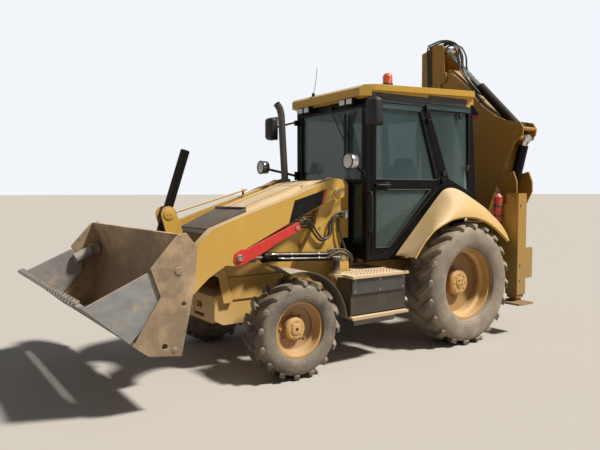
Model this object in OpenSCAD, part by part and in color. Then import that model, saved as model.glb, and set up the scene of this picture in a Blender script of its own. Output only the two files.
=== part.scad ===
// Backhoe loader with a side-shift rear frame, parked with its backhoe folded across the rear.
// Machine axes: X forward from the rear axle, Y to the left, Z up from the ground.

/* [Wheels] */
// Distance between the axles
wheelbase = 2200; // [2100:10:2300]
// Radius over the lugs of a rear tyre
rear_tyre_r = 660; // [630:5:680]
// Width of a rear tyre
rear_tyre_w = 430; // [380:5:440]
// Radius of a rear rim at its flange
rear_rim_r = 388; // [370:2:400]
// Distance from the middle of the machine to the middle of a rear tyre
rear_wheel_y = 832; // [825:1:850]
// Radius over the lugs of a front tyre
front_tyre_r = 442; // [425:1:452]
// Width of a front tyre
front_tyre_w = 312; // [290:2:316]
// Radius of a front rim at its flange
front_rim_r = 253; // [245:1:260]
// Distance from the middle of the machine to the middle of a front tyre
front_wheel_y = 827; // [822:1:835]
// Distance from the middle of the machine to a kingpin
kingpin_y = 640; // [630:1:645]
// Lugs along one side of a rear tyre
rear_lugs = 20; // [16:1:24]
// Lugs along one side of a front tyre
front_lugs = 16; // [12:1:20]

/* [Frame] */
// Half width over the main rails
rail_y = 335; // [320:1:338]
// Thickness of a main rail
rail_t = 40; // [25:1:60]
// Height of the rails' top edge at the cab
rail_top = 900; // [880:5:910]
// Front face of the bumper block
bumper_reach = 525; // [500:5:540]

/* [Loader] */
// Loader arm pivot, forward of the rear axle
arm_x = 1450; // [1440:2:1460]
// Loader arm pivot height
arm_z = 1655; // [1645:1:1665]
// Inner face of a loader arm
arm_y0 = 440; // [436:1:444]
// Thickness of a loader arm
arm_t = 110; // [100:1:116]
// Half width of the bucket
bucket_y = 1134; // [1100:2:1160]
// Thickness of the bucket's side plates
bucket_side_t = 18; // [12:1:22]
// Bucket hinge, forward of the rear axle
hinge_x = 3250; // [3245:1:3255]
// Bucket hinge height
hinge_z = 600; // [595:1:605]

/* [Cab] */
// Half width of the cab at its front pillars
cab_front_y = 622; // [610:1:630]
// Front of the cab
cab_front_x = 1145; // [1135:1:1155]
// Rear of the cab
cab_rear_x = -330; // [-340:1:-320]
// Height of the cab floor's underside
cab_floor_z = 960; // [955:1:965]
// Underside of the roof
roof_z = 2610; // [2600:1:2620]
// Thickness of a pillar
pillar_t = 60; // [50:1:70]

/* [Rear frame] */
// Sideways place of the backhoe's swing axis
swing_y = 580; // [570:1:590]
// Swing axis, behind the rear axle
swing_x = -1330; // [-1340:1:-1325]
// Half width over the stabiliser boxes
leg_y = 1000; // [985:1:1010]
// Width of a stabiliser's outer box
leg_w = 160; // [150:1:170]
// Front face of a stabiliser's outer box
leg_x = -850; // [-855:1:-845]

/* [Hidden] */

// Colours as seen
paint = "goldenrod";
black = "#202020";
steel = "silver";
dust = "#8a7a66";
glass = [0.6, 0.75, 0.75, 0.4];
red = "firebrick";
rubber = "#55504a";

// Seat and running clearances
seat = 0.3;
run = 0.05;
gap = 6;
RIM_FN = 64;

// Fore-and-aft middle of the whole machine, which the origin is moved to
edge_x = 4130;
dig_half = 305;
mid_x = (edge_x + swing_x - dig_half) / 2;

rear_axle_z = rear_tyre_r;
front_axle_z = front_tyre_r;

// Helpers: a plate from an outline in XZ or YZ, and round bars
module xz_plate(y0, y1, pts)
  translate([0, y1, 0]) rotate([90, 0, 0]) linear_extrude(y1 - y0) polygon(pts);
module yz_plate(x0, x1, pts)
  translate([x0, 0, 0]) rotate([90, 0, 90]) linear_extrude(x1 - x0) polygon(pts);
module box(a, b)
  translate(a) cube([b.x - a.x, b.y - a.y, b.z - a.z]);
module bar_y(x, z, r, y0, y1)
  translate([x, y1, z]) rotate([90, 0, 0]) cylinder(h = y1 - y0, r = r, $fn = 48);
module bar_x(y, z, r, x0, x1)
  translate([x0, y, z]) rotate([0, 90, 0]) cylinder(h = x1 - x0, r = r, $fn = 48);
module bar(p, q, r) {
  v = q - p;
  len = norm(v);
  translate(p) rotate([0, acos(v.z / len), atan2(v.y, v.x)]) cylinder(h = len, r = r, $fn = 48);
}
module both() {
  children();
  mirror([0, 1, 0]) children();
}
module place() translate([-mid_x, 0, 0]) children();
function along(p, q, d) = p + (q - p) * d / norm(q - p);
function arc(cx, cz, r, a0, a1, n) =
  [for (i = [0:n]) let (a = a0 + (a1 - a0) * i / n) [cx + r * cos(a), cz + r * sin(a)]];

// Wheels, made about local Z, outward up
function tyre_outline(r, w, rim, bead) = let (c = r - 42, b = rim - 6, m = (c + b) / 2, h = w / 2) concat(
  [[b, -bead], [rim + 1, -bead], [rim + 3, -h * 0.66]],
  [for (a = [-60:30:60]) [m + (c - b) * 0.5 * sin(a), -h * (0.72 + 0.28 * cos(a))]],
  [[c, -h * 0.74], [c, h * 0.74]],
  [for (a = [60:-30:-60]) [m + (c - b) * 0.5 * sin(a), h * (0.72 + 0.28 * cos(a))]],
  [[rim + 3, h * 0.66], [rim + 1, bead], [b, bead]]);
module tyre(r, w, rim, lugs, bead) color(rubber) {
  h = w / 2;
  difference() {
    union() {
      rotate_extrude($fn = RIM_FN) polygon(tyre_outline(r, w, rim, bead));
      intersection() {
        rotate_extrude($fn = RIM_FN)
          polygon([[rim + 60, -h], [r - 50, -h], [r - 6, -h * 0.86], [r, -h * 0.7],
            [r, h * 0.7], [r - 6, h * 0.86], [r - 50, h], [rim + 60, h]]);
        union() for (i = [0:lugs - 1], s = [-1, 1])
          rotate([0, 0, (i + (s > 0 ? 0 : 0.5)) * 360 / lugs])
            translate([r - 50, 0, s * h * 0.5]) rotate([s * 38, 0, 0])
              translate([0, -w * 0.07, -h * 0.62]) cube([70, w * 0.14, h * 1.2]);
      }
    }
    translate([0, 0, -w]) cylinder(h = 2 * w, r = rim - 6, $fn = RIM_FN);
  }
}
// Half sections of a rim: flange, barrel, disc and hub
module rim(r, half, disc_z, hub_r, hub_z, bore) color(paint) {
  rotate_extrude($fn = RIM_FN) union() {
    polygon([[r - 6.3, -half], [r, -half], [r, -half + 10], [r - 6.3, -half + 14]]);
    polygon([[r - 22, -half], [r - 6.3, -half], [r - 6.3, -half * 0.5], [r - 40, -half * 0.4],
      [r - 40, half * 0.2], [r - 6.3, half * 0.4], [r - 6.3, half], [r - 22, half],
      [r - 22, half * 0.42], [r - 55, half * 0.25], [r - 55, -half * 0.45], [r - 22, -half * 0.55]]);
    polygon([[r - 6.3, half - 14], [r, half - 10], [r, half], [r - 6.3, half]]);
    polygon([[hub_r, disc_z - 9], [r - 50, disc_z + 12], [r - 50, disc_z + 26], [hub_r, disc_z + 9]]);
    polygon([[bore, disc_z - 60], [hub_r * 0.8, disc_z - 60], [hub_r, disc_z - 20], [hub_r, hub_z - 22],
      [hub_r * 0.93, hub_z - 8], [hub_r * 0.86, hub_z - 8], [hub_r * 0.82, hub_z], [0, hub_z],
      [0, hub_z - 30], [bore, hub_z - 30]]);
  }
}
module at_wheel(x, y, z, side) {
  if (side > 0) translate([x, y, z]) rotate([-90, 0, 0]) children();
  else mirror([0, 1, 0]) translate([x, y, z]) rotate([-90, 0, 0]) children();
}
rear_rim_half = 136;
front_rim_half = 108;
rear_disc = -70;
rear_hub_z = 40;
front_disc = -25;
front_hub_z = 60;
rear_spindle = 70;
front_spindle = 45;
module rear_rim(side) at_wheel(0, rear_wheel_y, rear_axle_z, side)
  rim(rear_rim_r, rear_rim_half, rear_disc, 139, rear_hub_z, rear_spindle + run);
module rear_tyre(side) at_wheel(0, rear_wheel_y, rear_axle_z, side)
  tyre(rear_tyre_r, rear_tyre_w, rear_rim_r, rear_lugs, rear_rim_half - 14 - seat);
module front_rim(side) at_wheel(wheelbase, front_wheel_y, front_axle_z, side)
  rim(front_rim_r, front_rim_half, front_disc, 104, front_hub_z, front_spindle + run);
module front_tyre(side) at_wheel(wheelbase, front_wheel_y, front_axle_z, side)
  tyre(front_tyre_r, front_tyre_w, front_rim_r, front_lugs, front_rim_half - 14 - seat);

// Axles
hub_in = 60;
module rear_axle() color(paint) {
  hub_y = rear_wheel_y + rear_disc - hub_in;
  union() {
    bar_y(0, rear_axle_z, 95, -450, 450);
    bar_y(0, rear_axle_z, 185, -150, 150);
    both() {
      bar_y(0, rear_axle_z, 150, 430, 560);
      bar_y(0, rear_axle_z, 110, 555, hub_y - seat);
      bar_y(0, rear_axle_z, rear_spindle, 600, rear_wheel_y + rear_hub_z - 31);
    }
  }
}
pin_r = 22;
boss_half = 58;
module front_axle() color(paint) difference() {
  union() {
    xz_plate(-300, 300, [[wheelbase - 60, 375], [wheelbase + 60, 375], [wheelbase + 75, 430],
      [wheelbase + 60, 505], [wheelbase - 60, 505], [wheelbase - 75, 430]]);
    bar_y(wheelbase, front_axle_z, 115, -90, 110);
    bar_x(0, front_axle_z + 20, 70, wheelbase - 150 + seat, wheelbase + 130 - seat);
    both() {
      hull() {
        box([wheelbase - 60, 290, 385], [wheelbase + 60, 300, 500]);
        box([wheelbase - 40, 590, front_axle_z - 40], [wheelbase + 40, 600, front_axle_z + 40]);
      }
      translate([wheelbase, kingpin_y, front_axle_z - boss_half]) cylinder(h = 2 * boss_half, r = 46, $fn = 48);
    }
  }
  both() translate([wheelbase, kingpin_y, front_axle_z - 100]) cylinder(h = 200, r = pin_r + run, $fn = 48);
}
module knuckle(side) color(paint) mirror([0, side > 0 ? 0 : 1, 0]) {
  hub_y = front_wheel_y + front_disc - hub_in;
  z0 = front_axle_z - boss_half - 26;
  z1 = front_axle_z + boss_half + 26;
  difference() {
    union() {
      translate([wheelbase, kingpin_y, z0]) cylinder(h = z1 - z0, r = 50, $fn = 48);
      box([wheelbase - 45, kingpin_y, z0], [wheelbase + 45, hub_y - seat, z1]);
      box([wheelbase - 170, kingpin_y - 45, z1 - 26], [wheelbase, kingpin_y, z1]);
    }
    translate([wheelbase, kingpin_y, front_axle_z - boss_half - seat])
      cylinder(h = 2 * (boss_half + seat), r = 56, $fn = 48);
    box([wheelbase - 80, kingpin_y - 80, front_axle_z - boss_half - seat],
      [wheelbase + 80, kingpin_y + 20, front_axle_z + boss_half + seat]);
  }
  translate([wheelbase, kingpin_y, z0 + 5]) cylinder(h = z1 - z0 - 10, r = pin_r, $fn = 48);
  bar_y(wheelbase, front_axle_z, front_spindle, hub_y - 40, front_wheel_y + front_hub_z - 31);
  // post that carries the mudguard over the tyre
  xz_plate(kingpin_y - 12, kingpin_y + 12, [[wheelbase - 40, z1 - 5], [wheelbase + 30, z1 - 5],
    [wheelbase - 20, front_axle_z + guard_r + 4], [wheelbase - 80, front_axle_z + guard_r]]);
}
guard_r = 515;
guard_t = 6;
guard_out = 965;
guard_low_in = 765;
guard_nose_in = 730;
module guard_arc(y0, y1, a0, a1, n) xz_plate(y0, y1, concat(arc(wheelbase, front_axle_z, guard_r, a0, a1, n),
  arc(wheelbase, front_axle_z, guard_r + guard_t, a1, a0, n)));
module front_fender(side) color(black) mirror([0, side > 0 ? 0 : 1, 0]) {
  inner = kingpin_y + 12 + seat;
  guard_arc(inner, guard_out, 78, 134, 8);
  guard_arc(guard_low_in, guard_out, 134, 174, 5);
  nose = [wheelbase + guard_r * cos(78), front_axle_z + guard_r * sin(78)];
  xz_plate(guard_nose_in, guard_out - 20, [[nose.x - 2, nose.y], [2430, 1018], [2430, 1018 + guard_t],
    [nose.x - 2, nose.y + guard_t]]);
  xz_plate(inner, kingpin_y + 40, [[wheelbase - 80, front_axle_z + guard_r - 25],
    [wheelbase - 20, front_axle_z + guard_r - 22], [wheelbase - 20, front_axle_z + guard_r],
    [wheelbase - 80, front_axle_z + guard_r - 5]]);
}

// Main frame, bumper block, loader towers
tower_y0 = 375;
tower_y1 = arm_y0 - 8;
tow_r = 21;
tow_z = [510, 670];
lift_x = 1400;
lift_z = 1010;
arm_pin = 35;
// Front axle's bearing blocks, as places along X
bear_rear = wheelbase - 220;
bear_front = wheelbase + 130;
bumper_x = wheelbase + bumper_reach;
module rails() both() xz_plate(rail_y - rail_t, rail_y, [[leg_x, 560], [-190, 560], [-190, rear_axle_z + 95 + seat],
  [190, rear_axle_z + 95 + seat], [190, 520], [bear_rear + 10, 520], [bear_rear + 60, 440], [bear_rear + 70, 440],
  [bear_rear + 70, 560], [bear_front, 560], [bear_front, 430], [bumper_x - 85, 430], [bumper_x, 480], [bumper_x, 700],
  [bumper_x - 235, 760], [bear_rear + 145, 800], [1330, 800], [1300, rail_top], [leg_x, rail_top]]);
module main_frame() color(paint) difference() {
  union() {
    rails();
    // cross members between the rails, each a plate of its own
    y = rail_y - rail_t - seat;
    box([bumper_x - 245, -y, 450], [bumper_x, y, 480]);
    box([bumper_x - 245, -y, 670], [bumper_x, y, 700]);
    box([bumper_x - 245, -y, 450], [bumper_x - 215, y, 700]);
    for (s = [-1, 1]) box([bumper_x - 25, s > 0 ? 110 : -y, 450], [bumper_x, s > 0 ? y : -110, 700]);
    box([bear_front, -y, 430], [bear_front + 70, y, 700]);
    box([bumper_x - 140, -120, tow_z[0]], [bumper_x - 5, 120, tow_z[1]]);
    box([bear_rear, -y, 520], [bear_rear + 70, y, 690]);
    box([700, -y, 560], [760, y, 860]);
    box([leg_x, -y, 600], [leg_x + 30, y, 860]);
    box([150 + 40, -y, 780], [260, y, rail_top - 20]);
    both() {
      xz_plate(tower_y0, tower_y1, [[1330, 640], [1330, 1690], [1370, 1745], [1520, 1745], [1565, 1640],
        [1660, 1330], [1880, 980], [1950, 800], [1950, 640]]);
      box([1330, rail_y + seat, 640], [1950, tower_y0, 790]);
      bar_y(arm_x, arm_z, arm_pin, tower_y0, arm_y0 + arm_t + 14);
      bar_y(arm_x, arm_z, 52, arm_y0 + arm_t + seat, arm_y0 + arm_t + 12);
      // posts and pins of the hood's hinge
      xz_plate(hood_y + gap, hood_y + gap + 12, [[2560, 640], [2655, 640], [2690, 840], [2738, 1130], [2742, 1205],
        [2720, 1224], [2698, 1205], [2640, 1000]]);
      box([2560, rail_y + seat, 640], [2650, hood_y + gap, 715]);
      bar_y(hood_pin.x, hood_pin.y, 12, hood_y - 10, hood_y + gap + 12);
      // cab and engine mounts on the rails
      for (x = [-180, 980]) translate([x, rail_y - rail_t / 2, rail_top - 1]) cylinder(h = cab_floor_z + floor_up - rail_top + 1 - seat, r = 40, $fn = 48);
      // ears and pin of the lift cylinder
      xz_plate(arm_y0 + arm_t - 7, arm_y0 + arm_t + 11, [[1330, 700], [1330, 1060], [1380, 1085], [1430, 1075],
        [1480, 980], [1500, 700]]);
      box([1330, tower_y1 - 1, 700], [1500, arm_y0 + arm_t - 7, 860]);
      bar_y(lift_x, lift_z, 25, tower_y0, arm_y0 + arm_t + 12);
    }
  }
  // tow pin bore through the bumper's mouth
  box([bumper_x - 130, -60, 560], [bumper_x + 10, 60, 620]);
  translate([bumper_x - 60, 0, 400]) cylinder(h = 400, r = tow_r, $fn = 32);
  // bearing bores for the front axle's pivot
  bar_x(0, front_axle_z + 20, 30, bear_rear - 30, bear_front + 120);
}
module engine() color("dimgray") union() {
  box([1400, -250, 700], [2250, 250, 1330]);
  box([1500, -rail_y + rail_t + seat, 715], [1600, rail_y - rail_t - seat, 780]);
  box([1000, -180, 580], [1400, 180, 930]);
}

// Hood, with its nose and louvres
hood_pin = [2720, 1200];
hood_y = 362;
hood_inner_t = 22;
hood_rear_x = 1175;
function hood_top(d) = [[hood_rear_x, 1808 - d], [1600, 1768 - d], [2350, 1500 - d], [2770 - d, 1306 - d],
  [2800 - d, 1280 - d]];
hood_low = [[2790, 1110], [2690, 880]];
module hood_body(y_top, y_side, d) hull() {
  low = [for (p = hood_low) [p.x - d, p.y - d * 0.2]];
  xz_plate(-y_top, y_top, concat([[hood_rear_x, low[1].y]], hood_top(d), low));
  xz_plate(-y_side, y_side, concat([[hood_rear_x, low[1].y]], hood_top(d + 70), low));
}
module hood() {
  color(paint) difference() {
    hood_body(280, hood_y, 0);
    translate([-1, 0, -1]) hood_body(280 - hood_inner_t, hood_y - hood_inner_t, hood_inner_t);
    box([1100, -500, 800], [1335, 500, 1180]);
    both() bar_y(hood_pin.x, hood_pin.y, 12 + run, 330, 400);
    for (i = [0:5]) box([2600, -230, 920 + i * 52], [2900, 230, 950 + i * 52]);
  }
  color(black) translate([2350, 0, 1500]) rotate([0, atan2(194, 420), 0])
    difference() {
      box([20, -255, seat], [430, 255, 14]);
      box([40, -215, 7], [190, 215, 20]);
    }
}
stack_pts = [[1566, -250, 1777], [1612, -250, 2500], [1632, -250, 2565], [1672, -250, 2612]];
stack_r = 38;
stack_wall = 4;
module pipe(pts, r) union() {
  for (i = [0:len(pts) - 2]) bar(pts[i], pts[i + 1], r);
  for (i = [1:len(pts) - 2]) translate(pts[i]) sphere(r = r * 1.005, $fn = 48);
}
module exhaust_stack() color("dimgray") difference() {
  union() {
    pipe(stack_pts, stack_r);
    translate(stack_pts[0] + [0, 0, seat]) cylinder(h = 25, r = 60, $fn = 48);
  }
  bar(along(stack_pts[2], stack_pts[3], 10), along(stack_pts[2], stack_pts[3], 90), stack_r - stack_wall);
  translate(stack_pts[0] - [100, 100, 100 - seat]) cube([200, 200, 100]);
}

// Cab: each side lies in its own plane, which widens to the rear
cab_side_a = 4;
module side_frame(side) mirror([0, side > 0 ? 0 : 1, 0])
  translate([cab_front_x, cab_front_y, 0]) rotate([0, 0, -cab_side_a]) children();
// Outlines in the side's own plane: x from the front pillar, z up
cab_len = cab_front_x - cab_rear_x;
hinge_low = [-1045, 1735];
hinge_top = [-760, 2560];
door_sill = 1010;
wall_t = 45;
module side_plate(y0, y1, pts) xz_plate(y0, y1, pts);
hinge_a = atan2(hinge_top.x - hinge_low.x, hinge_top.y - hinge_low.y);
hinge_r = 13;
hinge_pin = 6;
hinge_y = 13.5;
module at_hinges() for (k = [0.02, 0.8], h = [hinge_low + (hinge_top - hinge_low) * k]) translate([h.x, hinge_y, h.y]) rotate([0, hinge_a, 0]) children();
module frame_hinges() at_hinges() {
  cylinder(h = 36, r = hinge_r, $fn = 48);
  cylinder(h = 74, r = hinge_pin, $fn = 48);
  translate([-60, -hinge_y - 1, 4]) cube([35, hinge_y - 3, 28]);
  translate([-30, -hinge_y + seat, 4]) cube([25, hinge_y - 4 - seat, 28]);
}
module door_hinges() at_hinges() translate([0, 0, 36 + seat]) difference() {
  union() {
    cylinder(h = 36, r = hinge_r, $fn = 48);
    translate([30, -hinge_y - 1, 4]) cube([35, hinge_y - 3, 28]);
    translate([5, -hinge_y + seat, 4]) cube([30, hinge_y - 4 - seat, 28]);
  }
  translate([0, 0, -1]) cylinder(h = 50, r = hinge_pin + run, $fn = 48);
}
door_pts = [[-62, door_sill + gap], [-62, roof_z - 40], [hinge_top.x + 20, roof_z - 40],
  [hinge_low.x + 12, hinge_low.y + 40], [hinge_low.x + 102, hinge_low.y - 54], [-224, door_sill + gap]];
upper_glass = [[-115, 1790], [-115, 2520], [-720, 2520], [-960, 1790]];
lower_glass = [[-115, 1080], [-115, 1680], [-870, 1680], [-290, 1080]];
arch_z = 1430;
// Lower front windows beside the hood, as corners in YZ
low_win = [[385, 1130], [545, 1735]];
floor_up = 2;
arch_y = 600;
module cab_side() {
  difference() {
    side_plate(-pillar_t, 0, [[0, cab_floor_z], [0, roof_z], [-cab_len - 20, roof_z], [-cab_len - 100, 1560],
      [-cab_len - 100, arch_z], [-850, arch_z], [-300, cab_floor_z]]);
    side_plate(-200, 200, [[-62 + gap, door_sill], [-62 + gap, roof_z - 34], [hinge_top.x + 14, roof_z - 34],
      [hinge_low.x + 4, hinge_low.y + 44], [hinge_low.x + 84, hinge_low.y - 68], [-237, door_sill]]);
    side_plate(-200, 200, [[hinge_top.x - 75, roof_z - 60], [hinge_low.x - 95, 1800], [-cab_len - 10, 1660],
      [-cab_len + 30, roof_z - 60]]);
  }
}
module cab_frame() color(black) {
  union() {
    both() side_frame(1) cab_side();
    both() side_frame(1) frame_hinges();
    // front cross members, floor, inner wheel arches, rear wall below the window
    y = cab_front_y - pillar_t + 5;
    low = cab_floor_z + floor_up;
    box([cab_front_x - pillar_t, -y, roof_z - 60], [cab_front_x - 3, y, roof_z - 3]);
    difference() {
      box([cab_front_x - 45, -y, low], [cab_front_x - 3, y, 1770]);
      both() box([cab_front_x - 50, low_win[0].x, low_win[0].y], [cab_front_x, low_win[1].x, low_win[1].y]);
    }
    box([cab_rear_x - 20, -arch_y, low], [cab_front_x - 20, arch_y, cab_floor_z + 40]);
    box([cab_rear_x - 60, -arch_y, low], [cab_rear_x, arch_y, 1560]);
    box([cab_rear_x - 60, -690, arch_z - 8], [cab_rear_x, 690, 1560]);
    box([cab_rear_x - 10, -690, roof_z - 60], [cab_rear_x + 50, 690, roof_z - 3]);
    both() {
      box([cab_rear_x - 20, arch_y - 15, low + 8], [620, arch_y - 1, arch_z - 5]);
      box([cab_rear_x - 30, arch_y - 15, arch_z - 12], [290, 680, arch_z + 3]);
    }
  }
}
module door(side) color(black) side_frame(side) union() {
  difference() {
    side_plate(-wall_t, 0, door_pts);
    side_plate(-200, 200, upper_glass);
    side_plate(-200, 200, lower_glass);
  }
  door_hinges();
  // handle
  side_plate(-1, 28, [[-95, 1705], [-95, 1745], [-270, 1750], [-270, 1715]]);
}
module door_glass(side) color(glass) side_frame(side) {
  side_plate(-30, -20, upper_glass);
  side_plate(-30, -20, lower_glass);
}
roof_front = 85;
roof_slab_z = [[cab_front_x + 90, roof_z + 12], [cab_front_x + 90, roof_z + 92], [cab_front_x + 45, roof_z + 125],
  [cab_rear_x - 10, roof_z + 178], [cab_rear_x - 75, roof_z + 152], [cab_rear_x - 75, roof_z + 116],
  [cab_front_x - 20, roof_z + 66], [cab_front_x - 50, roof_z + 12]];
module roof_plan(z, h, inset) translate([0, 0, z]) linear_extrude(h)
  polygon([[cab_front_x + roof_front - inset, -600 + inset], [cab_front_x + roof_front - inset, 600 - inset],
    [cab_front_x - 60, 700 - inset], [cab_rear_x + 40, 795 - inset], [cab_rear_x - 70 + inset, 720 - inset],
    [cab_rear_x - 70 + inset, -720 + inset], [cab_rear_x + 40, -795 + inset], [cab_front_x - 60, -700 + inset]]);
module roof_shell() color(paint) union() {
  intersection() {
    roof_plan(roof_z, 300, 0);
    xz_plate(-900, 900, roof_slab_z);
  }
  intersection() {
    roof_plan(roof_z + seat, 300, 50);
    xz_plate(-900, 900, [[cab_front_x + 20, roof_z + seat], [cab_front_x + 20, roof_z + 80],
      [cab_rear_x - 60, roof_z + 130], [cab_rear_x - 60, roof_z + seat]]);
  }
  both() box([cab_rear_x - 10, 700, roof_z + 30], [cab_rear_x + 95, 745, roof_z + 140]);
}
module cab_glass() color(glass) {
  y = cab_front_y - pillar_t - seat;
  box([cab_front_x - 35, -y, 1770 + seat], [cab_front_x - 25, y, roof_z - 60 - seat]);
  both() box([cab_front_x - 30, low_win[0].x + seat, low_win[0].y + seat],
    [cab_front_x - 20, low_win[1].x - seat, low_win[1].y - seat]);
  box([cab_rear_x - 5, -640, 1560 + seat], [cab_rear_x + 5, 640, roof_z - 60 - seat]);
  both() side_frame(1) side_plate(-35, -25, [[hinge_top.x - 76, roof_z - 61], [hinge_low.x - 95, 1801],
    [-cab_len + 5, 1672], [-cab_len + 45, roof_z - 61]]);
}
module cab_interior() color("dimgray") union() {
  z = cab_floor_z + 40;
  box([150, -230, z], [520, 230, z + 330]);
  box([120, -250, z + 330], [620, 250, z + 450]);
  translate([150, 0, z + 420]) rotate([0, -10, 0]) box([-60, -230, 0], [50, 230, 650]);
  bar([850, 0, z + 6], [797, 0, z + 576], 40);
  translate([795, 0, z + 570]) rotate([0, -20, 0]) difference() {
    cylinder(h = 30, r = 190, $fn = 48);
    translate([0, 0, -5]) cylinder(h = 40, r = 160, $fn = 48);
  }
  translate([795, 0, z + 570]) rotate([0, -20, 0]) box([-170, -20, 5], [170, 20, 20]);
  box([880, -300, z], [cab_front_x - 46, 300, z + 480]);
  both() box([-200, 380, z], [250, 560, z + 560]);
}

// Lamps, beacon, mirrors
module lamps() {
  both() {
    color(black) for (y = [320, 435]) box([cab_front_x + 25, y - 48, roof_z - 55], [cab_front_x + 78, y + 48, roof_z + 12 - seat]);
    color(black) for (y = [400, 560]) box([cab_rear_x - 68, y - 50, roof_z + 20], [cab_rear_x - 20 - seat, y + 50, roof_z + 100]);
    color(steel) translate([1465, 800, 1950]) rotate([0, 90, 0]) cylinder(h = 80, r = 75, $fn = 48);
    color(black) {
      bar([cab_front_x + 30, 600, 1850], [1475, 790, 1935], 14);
      box([cab_front_x + seat, 580, 1800], [cab_front_x + 45, 620, 1900]);
    }
  }
  color("orangered") {
    difference() {
      translate([800, 550, roof_z + 130]) cylinder(h = 50, r = 56, $fn = 48);
      translate([0, 0, seat]) xz_plate(450, 650, roof_slab_z);
    }
    translate([800, 550, roof_z + 179]) cylinder(h = 85, r = 48, $fn = 48);
    translate([800, 550, roof_z + 263]) cylinder(h = 22, r1 = 48, r2 = 30, $fn = 48);
  }
}
module mirrors() color(black) both() {
  box([1270, 850, 2290], [1300, 990, 2560]);
  bar([cab_front_x + 30, 610, 2480], [1285, 870, 2440], 11);
  box([cab_front_x + seat, 590, 2440], [cab_front_x + 45, 621, 2500]);
}

// Rear fenders: the shell runs from a tall inner edge to a lower outer edge
fender_in = 700;
fender_out = 1045;
// Points of the fender were measured over a tyre of 660
fender_k = rear_tyre_r / 660;
fender_cut = 1000 * fender_k;
function fender_tall(d) = [[840 - d, 1000], [820 - d, 1030], [160 - d * 0.5, 1665 - d], [90 - d * 0.3, 1690 - d],
  [10, 1695 - d], [-120 + d * 0.3, 1670 - d], [-480 + d * 0.6, 1495 - d * 0.8], [-740 + d, 1310 - d * 0.5],
  [-830 + d, 1180], [-830 + d, 1000]] * fender_k;
function fender_low(d) = [[872 - d, 1000], [744 - d * 0.8, 1152 - d * 0.5], [587 - d * 0.5, 1277 - d * 0.8],
  [376 - d * 0.3, 1359 - d], [157, 1390 - d], [-55 + d * 0.2, 1376 - d], [-277 + d * 0.5, 1305 - d * 0.9],
  [-542 + d, 1150 - d * 0.5], [-600 + d, 1100], [-600 + d, 1000]] * fender_k;
module fender_form(d, y0, y1) hull() {
  xz_plate(y0, y0 + 10, fender_tall(d));
  xz_plate(y1 - 10, y1, fender_low(d));
}
module rear_fenders() color(paint) both() difference() {
  fender_form(0, fender_in + 42, fender_out);
  fender_form(14, fender_in + 41, fender_out + 1);
  box([-1000 * fender_k, 0, 900], [-430 * fender_k, 2000, 1100 * fender_k]);
}
module fender_inner() color(paint) both() {
  xz_plate(fender_in + 42, fender_in + 50, [[415, 1400], [155, 1655], [90, 1680], [10, 1684], [-118, 1659], [-470, 1487],
    [-590, 1400]]);
  box([-200, 680 + seat, 1400], [250, fender_in + 45, 1424]);
}
step_out = 950;
step_front = wheelbase - 555;
module plan_plate(z0, z1, pts) translate([0, 0, z0]) linear_extrude(z1 - z0) polygon(pts);
module steps() both() {
  // tank box with its lid plate, lower step and side brackets
  in_y = rail_y + seat;
  color(black) plan_plate(490, 840, [[890, in_y], [1300, in_y], [1300, 590], [step_front - 105, 640],
    [step_front - 55, 890], [step_front - 55, 905], [890, 905]]);
  color(dust) plan_plate(840, 866, [[870, in_y], [1300, in_y], [1300, 590], [step_front + 5, 640],
    [step_front + 10, 750], [step_front - 63, 790], [step_front - 45, step_out], [870, step_out]]);
  color("dimgray") plan_plate(690, 838, [[905, 905], [step_front - 65, 905], [step_front - 60, 925], [905, 925]]);
  color(dust) plan_plate(450, 476, [[870, 640], [step_front - 85, 640], [step_front - 40, step_out], [870, step_out]]);
  color(black) box([1070, step_out - 12, 400], [step_front - 55, step_out, 450]);
  color(black) for (x = [875, step_front - 67]) box([x, 700, 476], [x + 12, 905, 840]);
  color(black) translate([step_front - 47, 700, 865]) {
    cylinder(h = 45, r1 = 50, r2 = 32, $fn = 48);
    cylinder(h = 130, r = 32, $fn = 48);
    translate([0, 0, 129]) cylinder(h = 36, r = 39, $fn = 48);
  }
}

// Rear frame with the side-shift rails and the stabilisers' outer boxes
leg_wall = 14;
leg_in = 290;
beam_z = [600, 1130];
beam_h = 160;
beam_x = -1010;
module rear_frame() color(paint) {
  x0 = leg_x - leg_w;
  inner = leg_y - leg_in;
  both() difference() {
    union() {
      box([x0, leg_y - leg_w, 450], [leg_x, leg_y, 1640]);
      box([x0, inner, 600], [leg_x, leg_y - leg_w, 1500]);
      bar_x(leg_y - leg_w / 2, 1570, 45, x0 - 14, leg_x + 14);
    }
    box([x0 + leg_wall, leg_y - leg_w + leg_wall, 400], [leg_x - leg_wall, leg_y - leg_wall, 1700]);
    box([x0 + leg_wall, inner - 1, 640], [leg_x - leg_wall, leg_y - leg_w - leg_wall, 1460]);
  }
  for (z = beam_z) box([beam_x, -inner, z], [leg_x, inner, z + beam_h]);
  both() box([beam_x + 20, rail_y - rail_t, beam_z[0] + beam_h], [leg_x, rail_y, beam_z[1]]);
  // bracket behind the left box
  difference() {
    box([x0 - 130, leg_y - leg_w, 640], [x0, leg_y - leg_w + 20, 1000]);
    box([x0 - 100, 0, 700], [x0 - 70, 2000, 780]);
  }
  box([x0 - 130, leg_y - 20, 640], [x0, leg_y, 1000]);
}
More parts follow.
